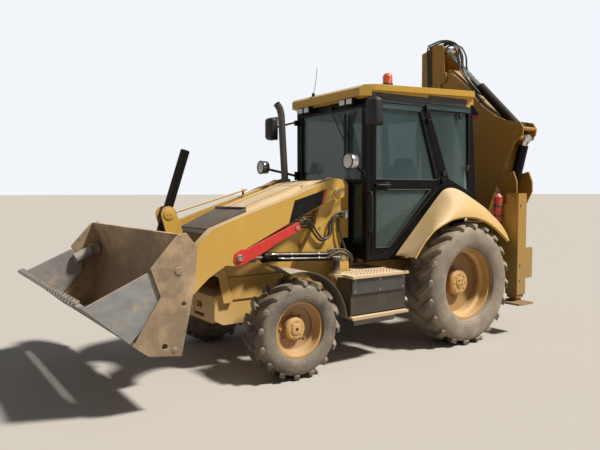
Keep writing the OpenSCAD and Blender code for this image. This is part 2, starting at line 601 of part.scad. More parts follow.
// Fire extinguisher strapped to the front of the left box
ext = [-790, 765];
module extinguisher() {
  color(red) {
    translate([ext.x, ext.y, 1310]) cylinder(h = 290, r = 50, $fn = 48);
    translate([ext.x, ext.y, 1599]) cylinder(h = 40, r1 = 50, r2 = 18, $fn = 48);
  }
  color(black) {
    translate([ext.x, ext.y, 1638]) cylinder(h = 40, r = 16, $fn = 32);
    box([ext.x - 12, ext.y - 10, 1665], [ext.x + 60, ext.y + 10, 1690]);
    for (z = [1360, 1480]) difference() {
      union() {
        translate([ext.x, ext.y, z]) cylinder(h = 24, r = 54, $fn = 48);
        box([leg_x + seat, ext.y - 30, z], [ext.x - 30, ext.y + 30, z + 24]);
      }
      translate([ext.x, ext.y, z - 1]) cylinder(h = 26, r = 49, $fn = 48);
    }
  }
}
foot_z = 350;
module stabiliser(side) mirror([0, side > 0 ? 0 : 1, 0]) color(paint) {
  x0 = leg_x - leg_w + leg_wall + seat;
  x1 = leg_x - leg_wall - seat;
  y0 = leg_y - leg_w + leg_wall + seat;
  y1 = leg_y - leg_wall - seat;
  box([x0, y0, foot_z + 60], [x1, y1, 1500]);
  box([x0 - 20, y0 - 70, foot_z], [x1 + 120, y1 + 120, foot_z + 22]);
  mx = (x0 + x1) / 2;
  xz_plate(y0 + 20, y1 - 20, [[mx - 60, foot_z + 20], [mx + 60, foot_z + 20], [mx + 40, foot_z + 62],
    [mx - 40, foot_z + 62]]);
}
// Carriage that shifts sideways along the rear frame's beams
king_r = 78;
king_pin = 45;
lug_half = 85;
lug_z = [520, 880];
lug_h = 80;
plate_x = -1065;
module side_shift() color(paint) difference() {
  union() {
    box([plate_x, swing_y - 250, 540], [beam_x - seat, swing_y + 250, beam_z[1] + beam_h + 40]);
    // hooks over and under the beams
    box([plate_x, swing_y - 180, beam_z[1] + beam_h + seat], [beam_x + 50, swing_y + 100, beam_z[1] + beam_h + 40]);
    box([plate_x, swing_y - 180, 560], [beam_x + 50, swing_y + 100, beam_z[0] - seat]);
    for (z = lug_z) {
      box([swing_x, swing_y - lug_half, z], [plate_x + 1, swing_y + lug_half, z + lug_h]);
      translate([swing_x, swing_y, z]) cylinder(h = lug_h, r = lug_half, $fn = 48);
    }
  }
  translate([swing_x, swing_y, 400]) cylinder(h = 900, r = king_pin + run, $fn = 48);
}
module swing_cylinders() color(black) for (s = [-1, 1]) {
  y = swing_y + s * 170;
  translate([plate_x - 34, y - 70, 740]) rotate([-90, 0, 0]) cylinder(h = 140, r = 30, $fn = 48);
  box([plate_x - 34, y - 60, 722], [plate_x - seat, y + 60, 758]);
}

// Kingpost: trunk on the swing axis, ears for the boom foot, tall cheeks beside the boom cylinder
boom_w = 280;
boom_x0 = swing_x - boom_w / 2;
boom_x1 = swing_x + boom_w / 2;
foot = [swing_y - 410, 820];
base = [swing_y - 160, 1020];
cheek = 22;
module kingpost() color(paint) {
  z0 = lug_z[0] + lug_h + gap;
  z1 = lug_z[1] - gap;
  near = swing_y - lug_half - gap;
  difference() {
    union() {
      translate([swing_x, swing_y, z0]) cylinder(h = z1 - z0, r = king_r, $fn = 48);
      for (x = [boom_x0 - cheek - gap, boom_x1 + gap]) yz_plate(x, x + cheek, concat(
        arc(foot[0], foot[1], 90, 130, 235, 6), [[260, 590], [near, 590], [near, z0], [swing_y + 40, z0],
        [swing_y + 40, z1], [near, z1], [near, lug_z[1] + lug_h + gap], [swing_y + 40, lug_z[1] + lug_h + gap],
        [620, 1200], [650, 1460], [755, 1661], [752, 1786], [700, 1912], [582, 1884], [488, 1863], [480, 1660],
        [430, 1350], [330, 1130]]));
      box([boom_x0 - gap - cheek, swing_y - 60, z0], [boom_x1 + gap + cheek, swing_y + 40, z1]);
      for (z = [z0, z1 - 40]) box([boom_x0 - gap - cheek, 300, z], [boom_x1 + gap + cheek, swing_y, z + 40]);
    }
    translate([swing_x, swing_y, 500]) cylinder(h = 700, r = king_pin - 5, $fn = 48);
  }
  translate([swing_x, swing_y, lug_z[0] - 20]) cylinder(h = lug_z[1] + lug_h + 30 - lug_z[0], r = king_pin, $fn = 48);
  bar_x(foot[0], foot[1], 40, boom_x0 - gap - cheek - 15, boom_x1 + gap + cheek + 15);
  bar_x(base[0], base[1], 30, boom_x0 - gap - cheek - 10, boom_x1 + gap + cheek + 10);
}
// Boom: two curved side plates closed by inner and outer webs
tip = [-458, 3235];
hump = [655, 2455];
horn = [745, 2325];
plate_t = 20;
boom_outer = concat(arc(tip[0], tip[1], 90, 190, 60, 6), [[-232, 3211], [-36, 3029], [214, 2760], [421, 2615],
  [563, 2552], [767, 2508], [814, 2435], [803, 2355], [692, 2259], [626, 2122], [547, 1960], [420, 1700],
  [330, 1450], [275, 1180], [258, 950]], arc(foot[0], foot[1], 88, 20, -140, 8));
boom_inner = [[55, 1000], [10, 1350], [-30, 1750], [-100, 2150], [-230, 2550], [-380, 2900], [-520, 3120]];
boom_web = 18;
module boom() color(paint) difference() {
  x0 = boom_x0 + plate_t + seat;
  x1 = boom_x1 - plate_t - seat;
  union() {
    for (x = [boom_x0, boom_x1 - plate_t]) {
      yz_plate(x, x + plate_t, concat(boom_outer, boom_inner));
      bar_x(foot[0], foot[1], 75, x, x + plate_t);
      bar_x(tip[0], tip[1], 70, x, x + plate_t);
    }
    // webs along the inner edge, the top edge and behind the boom cylinder
    yz_plate(x0, x1, concat([for (i = [0:6]) boom_inner[i]],
      [for (i = [6:-1:0]) boom_inner[i] + [boom_web, boom_web * 0.3]]));
    yz_plate(x0, x1, [[-380, 3340], [-232, 3205], [-36, 3023], [214, 2752], [385, 2634],
      [373, 2612], [202, 2738], [-50, 3008], [-246, 3190], [-396, 3325]]);
    yz_plate(x0, x1, [[500, 2000], [385, 1720], [295, 1460], [240, 1180], [225, 940], [205, 940],
      [220, 1190], [275, 1470], [365, 1730], [480, 2010], [500, 2250], [520, 2250]]);
    bar_x(foot[0], foot[1], 75, x0, x1);
    bar_x(tip[0], tip[1], 70, x0, x1);
    // flared boss between the plates at the hump
    bar_x(785, 2430, 24, x0, x1);
  }
  bar_x(foot[0], foot[1], 40 + run, boom_x0 - 5, boom_x1 + 5);
  bar_x(tip[0], tip[1], 38 + run, boom_x0 - 5, boom_x1 + 5);
  for (p = [hump, horn]) bar_x(p[0], p[1], 30 + run, boom_x0 - 5, boom_x1 + 5);
}
// Steel pipes held by clamps along the boom's top edge
boom_pipe = [[395, 2668], [225, 2795], [-15, 3062]];
module boom_pipes() color(black) {
  for (x = [84, 106]) pipe([for (p = boom_pipe) [swing_x + x, p.x, p.y]], 9);
  for (k = [0.25, 0.75]) {
    p = boom_pipe[1] + (boom_pipe[2] - boom_pipe[1]) * k;
    translate([swing_x + 70, p.x, p.y]) rotate([48, 0, 0]) translate([0, -32, -27.5]) cube([50, 46, 40]);
  }
}
eye_half = 60;
module stubs(p, r, reach, eye) for (s = [-1, 1])
  bar_x(p[0], p[1], r, swing_x + (s > 0 ? eye + gap : -reach), swing_x + (s > 0 ? reach : -eye - gap));
module boom_pins() color(paint) {
  bar_x(hump[0], hump[1], 30, boom_x0 - 5, boom_x1 + 5);
  stubs(horn, 30, boom_w / 2 + 5, eye_half);
}
barrel_r = 62;
module cyl_barrel(p, q, r, len, eye_r, eye_w, bore) difference() {
  union() {
    bar(p, along(p, q, len), r);
    bar_x(p.y, p.z, eye_r, p.x - eye_w, p.x + eye_w);
  }
  bar(along(p, q, eye_r + 40), along(p, q, len + 5), bore);
  children();
}
module cyl_rod(p, q, r, from, eye_r, eye_w) union() {
  bar(along(p, q, from), q, r);
  bar_x(q.y, q.z, eye_r, q.x - eye_w, q.x + eye_w);
}
boom_pts = [[swing_x, base[0], base[1]], [swing_x, horn[0], horn[1]]];
module boom_barrel() color(black)
  cyl_barrel(boom_pts[0], boom_pts[1], barrel_r, 1250, 60, 70, 32.3) bar_x(base[0], base[1], 30 + run, -2000, 0);
module boom_rod() color(steel) cyl_rod(boom_pts[0], boom_pts[1], 32, 300, 48, eye_half);
// Stick: fixed outer box, hung from the boom's tip
nose = [-500, 3620];
stick_in = -450;
stick_out = -712;
stick_top = 3700;
stick_low = 1750;
stick_t = 20;
stick_w = boom_w / 2 + gap + stick_t;
module stick() color(paint) difference() {
  union() {
    for (x = [swing_x - stick_w, swing_x + stick_w - stick_t]) yz_plate(x, x + stick_t,
      concat([[stick_out, stick_top - 60], [stick_out, stick_low], [stick_in - 60, stick_low], [stick_in - 60, 2950]],
        arc(tip[0], tip[1], 85, -100, 60, 6), arc(nose[0], nose[1], 70, -20, 90, 5), [[-660, stick_top]]));
    yz_plate(swing_x - stick_w, swing_x + stick_w, [[stick_out, stick_low], [stick_out + 16, stick_low],
      [stick_out + 16, 3600], [stick_out, 3600]]);
    yz_plate(swing_x - stick_w, swing_x + stick_w, [[stick_in - 76, stick_low], [stick_in - 60, stick_low],
      [stick_in - 60, 2850], [stick_in - 76, 2850]]);
  }
  bar_x(nose[0], nose[1], 25, swing_x - 300, swing_x + 300);
  bar_x(tip[0], tip[1], 38 - 5, swing_x - 300, swing_x + 300);
}
module stick_pins() color(paint) {
  bar_x(tip[0], tip[1], 38, swing_x - stick_w - 6, swing_x + stick_w + 6);
  stubs(nose, 30, stick_w + 6, eye_half);
}
// Two pipes down the near face of the stick, held by clamps
module stick_pipes() color(black) {
  x = swing_x + stick_w + 14;
  for (y = [-690, -662]) pipe([[x, y, 2150], [x, y, 3480], [x, y + 20, 3610]], 9);
  for (z = [2300, 2850, 3400]) box([swing_x + stick_w + seat, -704, z], [x + 12, -648, z + 30]);
}
stick_pts = [[swing_x, hump[0], hump[1]], [swing_x, nose[0], nose[1]]];
module stick_barrel() color(black)
  cyl_barrel(stick_pts[0], stick_pts[1], 58, 840, 60, 70, 30.3) bar_x(hump[0], hump[1], 30 + run, -2000, 0);
module stick_rod() color(steel) cyl_rod(stick_pts[0], stick_pts[1], 30, 745, 50, eye_half);
// Sliding outer half of the stick, with the dig bucket's linkage
heel = [-830, 1340];
rock = [-830, 1640];
rock_end = [-1093, 1544];
ear = [-1040, 1250];
dig_base = [-985, 3050];
slide_in = stick_out - seat;
slide_out = -895;
slide_w = 95;
module stick_slide() color(paint) difference() {
  union() {
    yz_plate(swing_x - slide_w, swing_x + slide_w, [[slide_in, 3600], [slide_in - 60, 3670], [slide_out, 3640],
      [slide_out, 1720], [heel[0] - 52, 1430], [heel[0] - 50, heel[1] - 40], [heel[0], heel[1] - 62],
      [heel[0] + 50, heel[1] - 40], [slide_in, 1450]]);
    // ears for the bucket cylinder
    for (x = [swing_x - 70, swing_x + 50]) yz_plate(x, x + 20, concat(arc(dig_base[0], dig_base[1], 55, 90, 270, 8),
      [[slide_out + 1, 2920], [slide_out + 1, 3200]]));
    bar_x(dig_base[0], dig_base[1], 25, swing_x - 80, swing_x + 80);
    bar_x(rock[0], rock[1], 25, swing_x - 128, swing_x + 128);
  }
  bar_x(heel[0], heel[1], 32 + run, swing_x - 300, swing_x + 300);
  yz_plate(swing_x - slide_w + 18, swing_x + slide_w - 18, [[slide_in - 18, 3700], [slide_out + 18, 3700],
    [slide_out + 18, 1800], [slide_in - 18, 1800]]);
}
module dig_barrel() color(black)
  cyl_barrel([swing_x, dig_base[0], dig_base[1]], [swing_x, rock_end[0], rock_end[1]], 48, 800, 48, 44, 26.3)
    bar_x(dig_base[0], dig_base[1], 25 + run, -2000, 0);
module dig_rod() color(steel)
  cyl_rod([swing_x, dig_base[0], dig_base[1]], [swing_x, rock_end[0], rock_end[1]], 26, 440, 42, 46);
// Plate with round ends about two centres in YZ
module capsule(x0, x1, p, rp, q, rq) {
  a = atan2(q[1] - p[1], q[0] - p[0]);
  yz_plate(x0, x1, concat(arc(p[0], p[1], rp, a + 90, a + 270, 10), arc(q[0], q[1], rq, a - 90, a + 90, 10)));
}
link_t = 14;
rock_x = slide_w + gap;
link_x = rock_x - gap - link_t;
module dig_rocker() color(paint) difference() {
  union() {
    for (x = [swing_x - rock_x - link_t, swing_x + rock_x]) capsule(x, x + link_t, rock, 45, rock_end, 40);
    stubs(rock_end, 24, rock_x + link_t + 6, 60);
  }
  bar_x(rock[0], rock[1], 25 + run, swing_x - 300, swing_x + 300);
}
module dig_link() color(paint) difference() {
  for (x = [swing_x - link_x - link_t, swing_x + link_x]) capsule(x, x + link_t, rock_end, 40, ear, 38);
  bar_x(rock_end[0], rock_end[1], 24 + run, swing_x - 300, swing_x + 300);
}
dig_t = 18;
dig_r = 400;
module dig_bucket() color(dust) {
  c = [heel[0] + 190, heel[1] - 380];
  difference() {
    union() {
      yz_plate(swing_x - dig_half, swing_x + dig_half, concat(arc(c[0], c[1], dig_r, 150, 350, 20),
        [[heel[0] + 720, heel[1] - 150], [heel[0] + 140, heel[1] - 94], [heel[0], heel[1] - 90]]));
      for (x = [swing_x - 44, swing_x + 26]) yz_plate(x, x + 18, concat(arc(ear[0], ear[1], 45, 40, 230, 6),
        [[c[0] - 370, c[1] + 110], [c[0] - 250, c[1] + 240]]));
      for (x = [swing_x - slide_w - gap - 20, swing_x + slide_w + gap]) yz_plate(x, x + 20,
        concat(arc(heel[0], heel[1], 60, -20, 200, 8), [[heel[0] - 80, heel[1] - 128], [heel[0] + 120, heel[1] - 104]]));
    }
    yz_plate(swing_x - dig_half + dig_t, swing_x + dig_half - dig_t, concat(arc(c[0], c[1], dig_r - dig_t, 150, 350, 20),
      [[heel[0] + 701, heel[1] - 140], [heel[0] + 140, heel[1] - 40], [heel[0] + 140, heel[1] - 114],
        [heel[0] + 4, heel[1] - 110]]));
  }
  bar_x(heel[0], heel[1], 32, swing_x - slide_w - gap - 24, swing_x + slide_w + gap + 24);
  bar_x(ear[0], ear[1], 24, swing_x - link_x + gap, swing_x + link_x - gap);
  for (i = [0:4]) translate([swing_x - dig_half + 30 + i * (2 * dig_half - 60) / 4, 0, 0])
    yz_plate(-28, 28, [[heel[0] + 640, heel[1] - 210], [heel[0] + 705, heel[1] - 200], [heel[0] + 765, heel[1] - 35],
      [heel[0] + 735, heel[1] - 30]]);
}

// Loader arms, cross tube, trunnion plates
tube_c = [2900, 1085];
tube_r = 68;
trun = [3040, 1457];
tilt_top = [2845, 2045];
tilt_eye = along(trun, [trun.x + 198, trun.y - 597], 629);
lift_pin = [2574, 1070];
arm_pts = concat([[1515, 1800], [1405, 1779], [1375, 1720], [1380, 1620], [1440, 1580], [1529, 1585], [2049, 1362],
  [2508, 1149], [2500, 1060]], arc(lift_pin.x, lift_pin.y, 78, 190, 280, 6),
  [[2717, 1010], [2885, 911], [3038, 775], [3175, 590]], arc(hinge_x, hinge_z, 75, 200, 380, 10),
  [[3290, 760], [3215, 900], [3120, 1060], [2989, 1195], [2837, 1336], [2453, 1473], [1983, 1620]]);
module loader_arms() color(paint) difference() {
  union() {
    both() xz_plate(arm_y0, arm_y0 + arm_t, arm_pts);
    bar_y(tube_c.x, tube_c.y, tube_r, -arm_y0 + seat, arm_y0 - seat);
    for (y = [-70, 54]) xz_plate(y - 10, y + 12, concat([[2842, 1090], [3010, 1040]],
      arc(trun.x, trun.y, 72, -20, 160, 8)));
  }
  both() {
    bar_y(arm_x, arm_z, arm_pin + run, 400, 600);
    xz_plate(arm_y0 + 22, arm_y0 + arm_t - 22, [[2330, 1230], [2330, 940], [2700, 920], [2700, 1170]]);
    bar_y(hinge_x, hinge_z, 30 + run, 400, 600);
  }
  bar_y(trun.x, trun.y, 30 + run, -200, 200);
}
module arm_lock() color(red) both() {
  d = [1930, 1325];
  for (y = [arm_y0 - 12 - seat, arm_y0 + arm_t + seat]) xz_plate(y, y + 12, [[2574 - 10, 1148], [2500, 1148], [1945, 1372],
    [1915, 1300], [2230, 1165], [2300, 1120], [2540, 1010], [2600, 1000], [2640, 1050], [2630, 1110]]);
}
lift_p = [lift_x, 495, lift_z];
lift_q = [lift_pin.x, 495, lift_pin.y];
module lift_barrels() color(black) both() difference() {
  union() {
    bar(lift_p, along(lift_p, lift_q, 910), 45);
    bar_y(lift_x, lift_z, 48, 460, 530);
  }
  bar(along(lift_p, lift_q, 85), along(lift_p, lift_q, 915), 27.3);
  bar_y(lift_x, lift_z, 25 + run, 400, 600);
}
module lift_rods() color(steel) both() union() {
  bar(along(lift_p, lift_q, 192), lift_q, 27);
  bar_y(lift_pin.x, lift_pin.y, 45, 465, 525);
}
tilt_p = [trun.x, 0, trun.y];
tilt_q = [tilt_eye.x, 0, tilt_eye.y];
module tilt_barrel() color(black) difference() {
  union() {
    bar([tilt_top.x, 0, tilt_top.y], along(tilt_p, tilt_q, 380), 43);
    bar_y(trun.x, trun.y, 30, -80, 66);
    bar_y(trun.x, trun.y, 50, -58, 42);
  }
  bar([tilt_top.x, 0, tilt_top.y] + (tilt_q - tilt_p) * 0.06, along(tilt_p, tilt_q, 390), 25.3);
}
module tilt_rod() color(steel) union() {
  bar(along(tilt_p, tilt_q, -350), tilt_q, 25);
  bar_y(tilt_q.x, tilt_q.z, 42, -26, 26);
}
// Bucket: curved blade with side plates, and the front jaw that opens from it
jaw_pin = [3406, 1080];
side_pts = [[3345, 1357], [3255, 1243], [3270, 1080], [3297, 897], [3343, 682], [3394, 449], [3643, 485],
  [3701, 528], [3757, 575], [3738, 591], [3547, 902], [3618, 1111], [3418, 1335]];
side_holes = [[3372, 835, 18], [3522, 538, 22]];
module bucket_blade() color(dust) {
  y = bucket_y - bucket_side_t;
  both() difference() {
    xz_plate(y, bucket_y, side_pts);
    for (h = side_holes) bar_y(h.x, h.y, h.z, y - 1, bucket_y + 1);
  }
  xz_plate(-y - 1, y + 1, [[3400, 1345], [3375, 1348], [3305, 1200], [3300, 900], [3345, 682], [3400, 455],
    [3640, 490], [3750, 575], [3740, 590], [3625, 515], [3420, 485], [3370, 690], [3328, 905], [3332, 1190]]);
  both() for (x = [arm_y0 - 40, arm_y0 + arm_t + 8]) xz_plate(x, x + 28, [[3345, 760], [3300, 700], [3200, 640],
    [3180, 560], [3240, 530], [3370, 480], [3375, 600]]);
  both() bar_y(hinge_x, hinge_z, 30, arm_y0 - 45, arm_y0 + arm_t + 42);
  for (y0 = [-54, 33]) xz_plate(y0, y0 + 21, [[3312, 980], [3220, 900], [3200, 850], [3230, 815], [3318, 780]]);
  both() bar_y(jaw_pin.x, jaw_pin.y, 28, y - 90, bucket_y + 8);
}
module bucket_jaw() color("gray") {
  y = bucket_y - bucket_side_t - gap;
  both() difference() {
    union() {
      xz_plate(y - 20, y, [[3626, 1081], [3520, 960], [3520, 850], [3764, 590], [4070, 881]]);
      bar([3600, y - 70, 985], [3440, y - 70, 1060], 55);
      bar_y(jaw_pin.x, jaw_pin.y, 58, y - 90, y);
    }
    bar_y(jaw_pin.x, jaw_pin.y, 28 + run, 800, 1300);
  }
  xz_plate(-y, y, [[3764, 582], [4085, 868], [4130, 895], [4085, 900], [3760, 610]]);
}
module level_rod() color(paint) {
  y0 = -arm_y0 + seat;
  bar([2840, -402, 1440], [1960, -402, 1690], 9);
  for (x = [2810, 1990]) {
    z = 1440 + (2840 - x) * 250 / 880;
    box([x - 12, y0, z - 130], [x + 12, y0 + 10, z + 12]);
    box([x - 12, y0, z - 12], [x + 12, -402, z + 12]);
  }
}

place() main_frame();
place() engine();
place() front_axle();
place() rear_axle();
place() hood();
place() exhaust_stack();
place() cab_frame();
place() roof_shell();  // cab_roof
place() cab_glass();
place() cab_interior();
place() door(1);  // door_left
place() door(-1);  // door_right
place() door_glass(1);  // door_glass_left
place() door_glass(-1);  // door_glass_right
place() mirrors();
place() lamps();
place() { rear_fenders(); fender_inner(); }
place() steps();
place() rear_frame();
place() extinguisher();
place() side_shift();
place() swing_cylinders();
place() knuckle(1);  // knuckle_left
place() knuckle(-1);  // knuckle_right
place() front_fender(1);  // front_fender_left
place() front_fender(-1);  // front_fender_right
place() front_rim(1);  // rim_front_left
place() front_rim(-1);  // rim_front_right
place() front_tyre(1);  // tyre_front_left
place() front_tyre(-1);  // tyre_front_right
place() rear_rim(1);  // rim_rear_left
place() rear_rim(-1);  // rim_rear_right
place() rear_tyre(1);  // tyre_rear_left
place() rear_tyre(-1);  // tyre_rear_right
place() loader_arms();
place() arm_lock();
place() lift_barrels();
place() lift_rods();
place() tilt_barrel();
place() tilt_rod();
place() bucket_blade();
place() bucket_jaw();
place() level_rod();
place() stabiliser(1);  // stabiliser_left
place() stabiliser(-1);  // stabiliser_right
place() kingpost();
place() { boom(); boom_pins(); }
place() boom_pipes();
place() boom_barrel();
place() boom_rod();
place() { stick(); stick_pins(); }
place() stick_pipes();
place() stick_barrel();
place() stick_rod();
place() stick_slide();
place() dig_barrel();
place() dig_rod();
place() dig_rocker();
place() dig_link();
place() dig_bucket();
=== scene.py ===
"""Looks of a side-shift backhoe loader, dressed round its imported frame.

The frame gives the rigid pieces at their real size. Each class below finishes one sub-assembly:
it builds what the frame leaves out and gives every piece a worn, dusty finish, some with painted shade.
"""

import logging
import math
from dataclasses import dataclass, field
from enum import Enum
from typing import Any, Sequence

import bmesh
import bpy
from mathutils import Matrix, Vector


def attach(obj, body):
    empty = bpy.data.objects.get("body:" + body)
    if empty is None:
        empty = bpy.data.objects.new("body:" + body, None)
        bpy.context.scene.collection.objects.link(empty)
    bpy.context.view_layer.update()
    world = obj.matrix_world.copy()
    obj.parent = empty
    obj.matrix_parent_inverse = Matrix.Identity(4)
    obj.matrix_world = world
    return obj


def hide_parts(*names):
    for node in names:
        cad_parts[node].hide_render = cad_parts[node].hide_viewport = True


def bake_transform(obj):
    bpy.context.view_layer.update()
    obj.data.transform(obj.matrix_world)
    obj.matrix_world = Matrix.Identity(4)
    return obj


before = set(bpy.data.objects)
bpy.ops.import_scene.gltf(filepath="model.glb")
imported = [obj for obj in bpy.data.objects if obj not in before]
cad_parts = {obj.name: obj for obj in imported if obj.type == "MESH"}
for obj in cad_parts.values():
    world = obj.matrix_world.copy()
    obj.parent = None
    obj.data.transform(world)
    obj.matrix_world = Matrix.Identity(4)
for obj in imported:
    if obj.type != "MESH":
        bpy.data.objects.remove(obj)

LOG = logging.getLogger("backhoe_loader")
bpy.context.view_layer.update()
# The machine's own axes start at the rear axle, this far behind the frame's origin (m)
REAR_AXLE_TO_MIDDLE = 1.2475
# Wheelbase and the height of each axle, which is its tyre's radius (m)
WHEELBASE = 2.2
REAR_AXLE_Z = 0.66
FRONT_AXLE_Z = 0.442
Point = Sequence[float]
Colour = tuple[float, float, float, float]


def at(x: float, y: float, z: float) -> Vector:
    """Turn a point measured from the rear axle into the frame's own axes."""
    return Vector((x - REAR_AXLE_TO_MIDDLE, y, z))


def placed(points: Sequence[Point]) -> list[Vector]:
    """Turn a row of points measured from the rear axle into the frame's own axes."""
    return [at(*point) for point in points]


def srgb(red: int, green: int, blue: int) -> Colour:
    """Turn a colour of 0 to 255 as seen into the linear one that shaders use."""
    parts = [c / 255 for c in (red, green, blue)]
    return (*(c / 12.92 if c <= 0.04045 else ((c + 0.055) / 1.055) ** 2.4 for c in parts), 1.0)


def shaded(colour: Colour, factor: float, lift: float = 0.0) -> Colour:
    """Make a linear colour darker or lighter."""
    return (*(min(1.0, c * factor + lift) for c in colour[:3]), 1.0)


def middle(low: Point, high: Point) -> Vector:
    """Point halfway between two corners."""
    return Vector([(a + b) / 2 for a, b in zip(low, high)])


class Body(Enum):
    """Moving bodies that new pieces ride on."""

    CHASSIS = "chassis"
    HOOD = "hood"
    DOOR_LEFT = "door_left"
    DOOR_RIGHT = "door_right"
    LOADER = "loader"
    LIFT_BARRELS = "lift_barrels"
    BUCKET = "bucket"
    JAW = "jaw"
    BOOM = "boom"
    STICK = "stick"
    WHEEL_FRONT_LEFT = "wheel_front_left"
    WHEEL_FRONT_RIGHT = "wheel_front_right"
    WHEEL_REAR_LEFT = "wheel_rear_left"
    WHEEL_REAR_RIGHT = "wheel_rear_right"


class Socket:
    """A node's output, with Math nodes behind the usual operators."""

    def __init__(self, graph: "Graph", out: bpy.types.NodeSocket) -> None:
        """Keep the graph and the output that this value comes from."""
        self.graph = graph
        self.out = out

    def math(self, operation: str, first: Any, second: Any = 0.0) -> "Socket":
        """Add one Math node on two values."""
        return self.graph.node("ShaderNodeMath", {"operation": operation}, {0: first, 1: second})

    def __add__(self, other: Any) -> "Socket":
        """Sum of two values."""
        return self.math("ADD", self, other)

    __radd__ = __add__

    def __sub__(self, other: Any) -> "Socket":
        """Difference of two values."""
        return self.math("SUBTRACT", self, other)

    def __rsub__(self, other: Any) -> "Socket":
        """Difference with the number first."""
        return self.math("SUBTRACT", other, self)

    def __mul__(self, other: Any) -> "Socket":
        """Product of two values."""
        return self.math("MULTIPLY", self, other)

    __rmul__ = __mul__

    def __truediv__(self, other: Any) -> "Socket":
        """Quotient of two values."""
        return self.math("DIVIDE", self, other)

    def __pow__(self, other: Any) -> "Socket":
        """Power of a value."""
        return self.math("POWER", self, other)

    def above(self, other: Any) -> "Socket":
        """One where this value is the greater, else nought."""
        return self.math("GREATER_THAN", self, other)

    def sine(self) -> "Socket":
        """Sine of a value, lifted to lie between nought and one."""
        return self.math("SINE", self) * 0.5 + 0.5

    def clamp(self) -> "Socket":
        """The value held between nought and one."""
        return self.graph.node("ShaderNodeMath", {"operation": "ADD", "use_clamp": True}, {0: self, 1: 0.0})

    def band(self, low: float, high: float) -> "Socket":
        """Nought at low and below, one at high and above, a straight rise between them."""
        return ((self - low) / (high - low)).clamp()


class Graph:
    """The node tree of one finish or of the sky."""

    # Colour sockets of a Mix node: factor, first and second colour, and the result
    MIX_FACTOR, MIX_LOW, MIX_HIGH, MIX_RESULT = 0, 6, 7, 2

    def __init__(self, tree: bpy.types.NodeTree) -> None:
        """Clear the tree and keep it."""
        self.tree = tree
        self.tree.nodes.clear()

    def node(self, kind: str, settings: dict[str, Any] | None = None, inputs: dict[Any, Any] | None = None,
             output: int | str = 0) -> Socket:
        """Add a node.

        Args:
            kind: the node's type.
            settings: its own settings, set first.
            inputs: values or links of its sockets, by name or number.
            output: the output that is wanted.

        Returns:
            That output, or the first input of a node that has none.
        """
        made = self.tree.nodes.new(kind)
        for key, value in (settings or {}).items():
            setattr(made, key, value)
        for key, value in (inputs or {}).items():
            if isinstance(value, Socket):
                self.tree.links.new(value.out, made.inputs[key])
            else:
                made.inputs[key].default_value = value
        return Socket(self, made.outputs[output] if len(made.outputs) else made.inputs[0])

    def place(self, scale: Point = (1, 1, 1)) -> Socket:
        """Object coordinates, stretched by a Mapping node."""
        where = self.node("ShaderNodeTexCoord", output="Object")
        return self.node("ShaderNodeMapping", None, {"Vector": where, "Scale": tuple(scale)})

    def axis(self, vector: Socket, index: int) -> Socket:
        """One coordinate of a vector."""
        return self.node("ShaderNodeSeparateXYZ", None, {0: vector}, index)

    def noise(self, scale: float, detail: float = 4.0, rough: float = 0.55, vector: Socket | None = None) -> Socket:
        """Cloudy noise from nought to one."""
        return self.node("ShaderNodeTexNoise", None, {
            "Vector": vector or self.place(), "Scale": scale, "Detail": detail, "Roughness": rough})

    def mix(self, factor: Any, low: Any, high: Any) -> Socket:
        """Blend two colours."""
        inputs = {self.MIX_FACTOR: factor, self.MIX_LOW: low, self.MIX_HIGH: high}
        return self.node("ShaderNodeMix", {"data_type": "RGBA"}, inputs, self.MIX_RESULT)

    def facing(self) -> Socket:
        """The surface's own direction."""
        return self.node("ShaderNodeNewGeometry", output="Normal")

    def upward(self, low: float = 0.1, high: float = 0.9) -> Socket:
        """One on faces that look up, nought on upright ones."""
        return self.axis(self.facing(), 2).band(low, high)

    def rounding(self, radius: float) -> Socket:
        """The surface's direction with its edges rounded off."""
        return self.node("ShaderNodeBevel", {"samples": 4}, {"Radius": radius})

    def edges(self, rounded: Socket, low: float = 0.015, high: float = 0.2) -> Socket:
        """One on the edges, where the rounded direction leaves the flat one."""
        dot = self.node("ShaderNodeVectorMath", {"operation": "DOT_PRODUCT"}, {0: rounded, 1: self.facing()}, 1)
        return (1.0 - dot).band(low, high)

    def shade(self, colour: Any, rough: Any, metal: Any = 0.0, height: Socket | None = None, bump: float = 0.002,
              normal: Socket | None = None, alpha: Any = None, **fixed: Any) -> None:
        """End the tree with one Principled shader.

        Args:
            colour: base colour.
            rough: roughness.
            metal: metallic share.
            height: relief for the bump, nought to one.
            bump: depth of that relief in metres.
            normal: direction that the relief stands on.
            alpha: opacity.
            fixed: other sockets that hold one number or colour each.
        """
        inputs: dict[str, Any] = {"Base Color": colour, "Roughness": rough, "Metallic": metal}
        inputs.update({key.replace("_", " "): value for key, value in fixed.items()})
        if alpha is not None:
            inputs["Alpha"] = alpha
        if height is not None:
            relief: dict[str, Any] = {"Height": height, "Distance": bump, "Strength": 1.0}
            if normal is not None:
                relief["Normal"] = normal
            inputs["Normal"] = self.node("ShaderNodeBump", None, relief)
        elif normal is not None:
            inputs["Normal"] = normal
        shader = self.node("ShaderNodeBsdfPrincipled", None, inputs)
        self.node("ShaderNodeOutputMaterial", None, {"Surface": shader})


@dataclass(frozen=True)
class Finish:
    """A finish by name; each kind below paints its own nodes."""

    name: str

    def material(self) -> bpy.types.Material:
        """Build the finish as a material."""
        made = bpy.data.materials.new(self.name)
        made.use_nodes = True
        self.paint(Graph(made.node_tree))
        return made

    def paint(self, graph: Graph) -> None:
        """Put the finish's nodes into the graph."""
        raise NotImplementedError


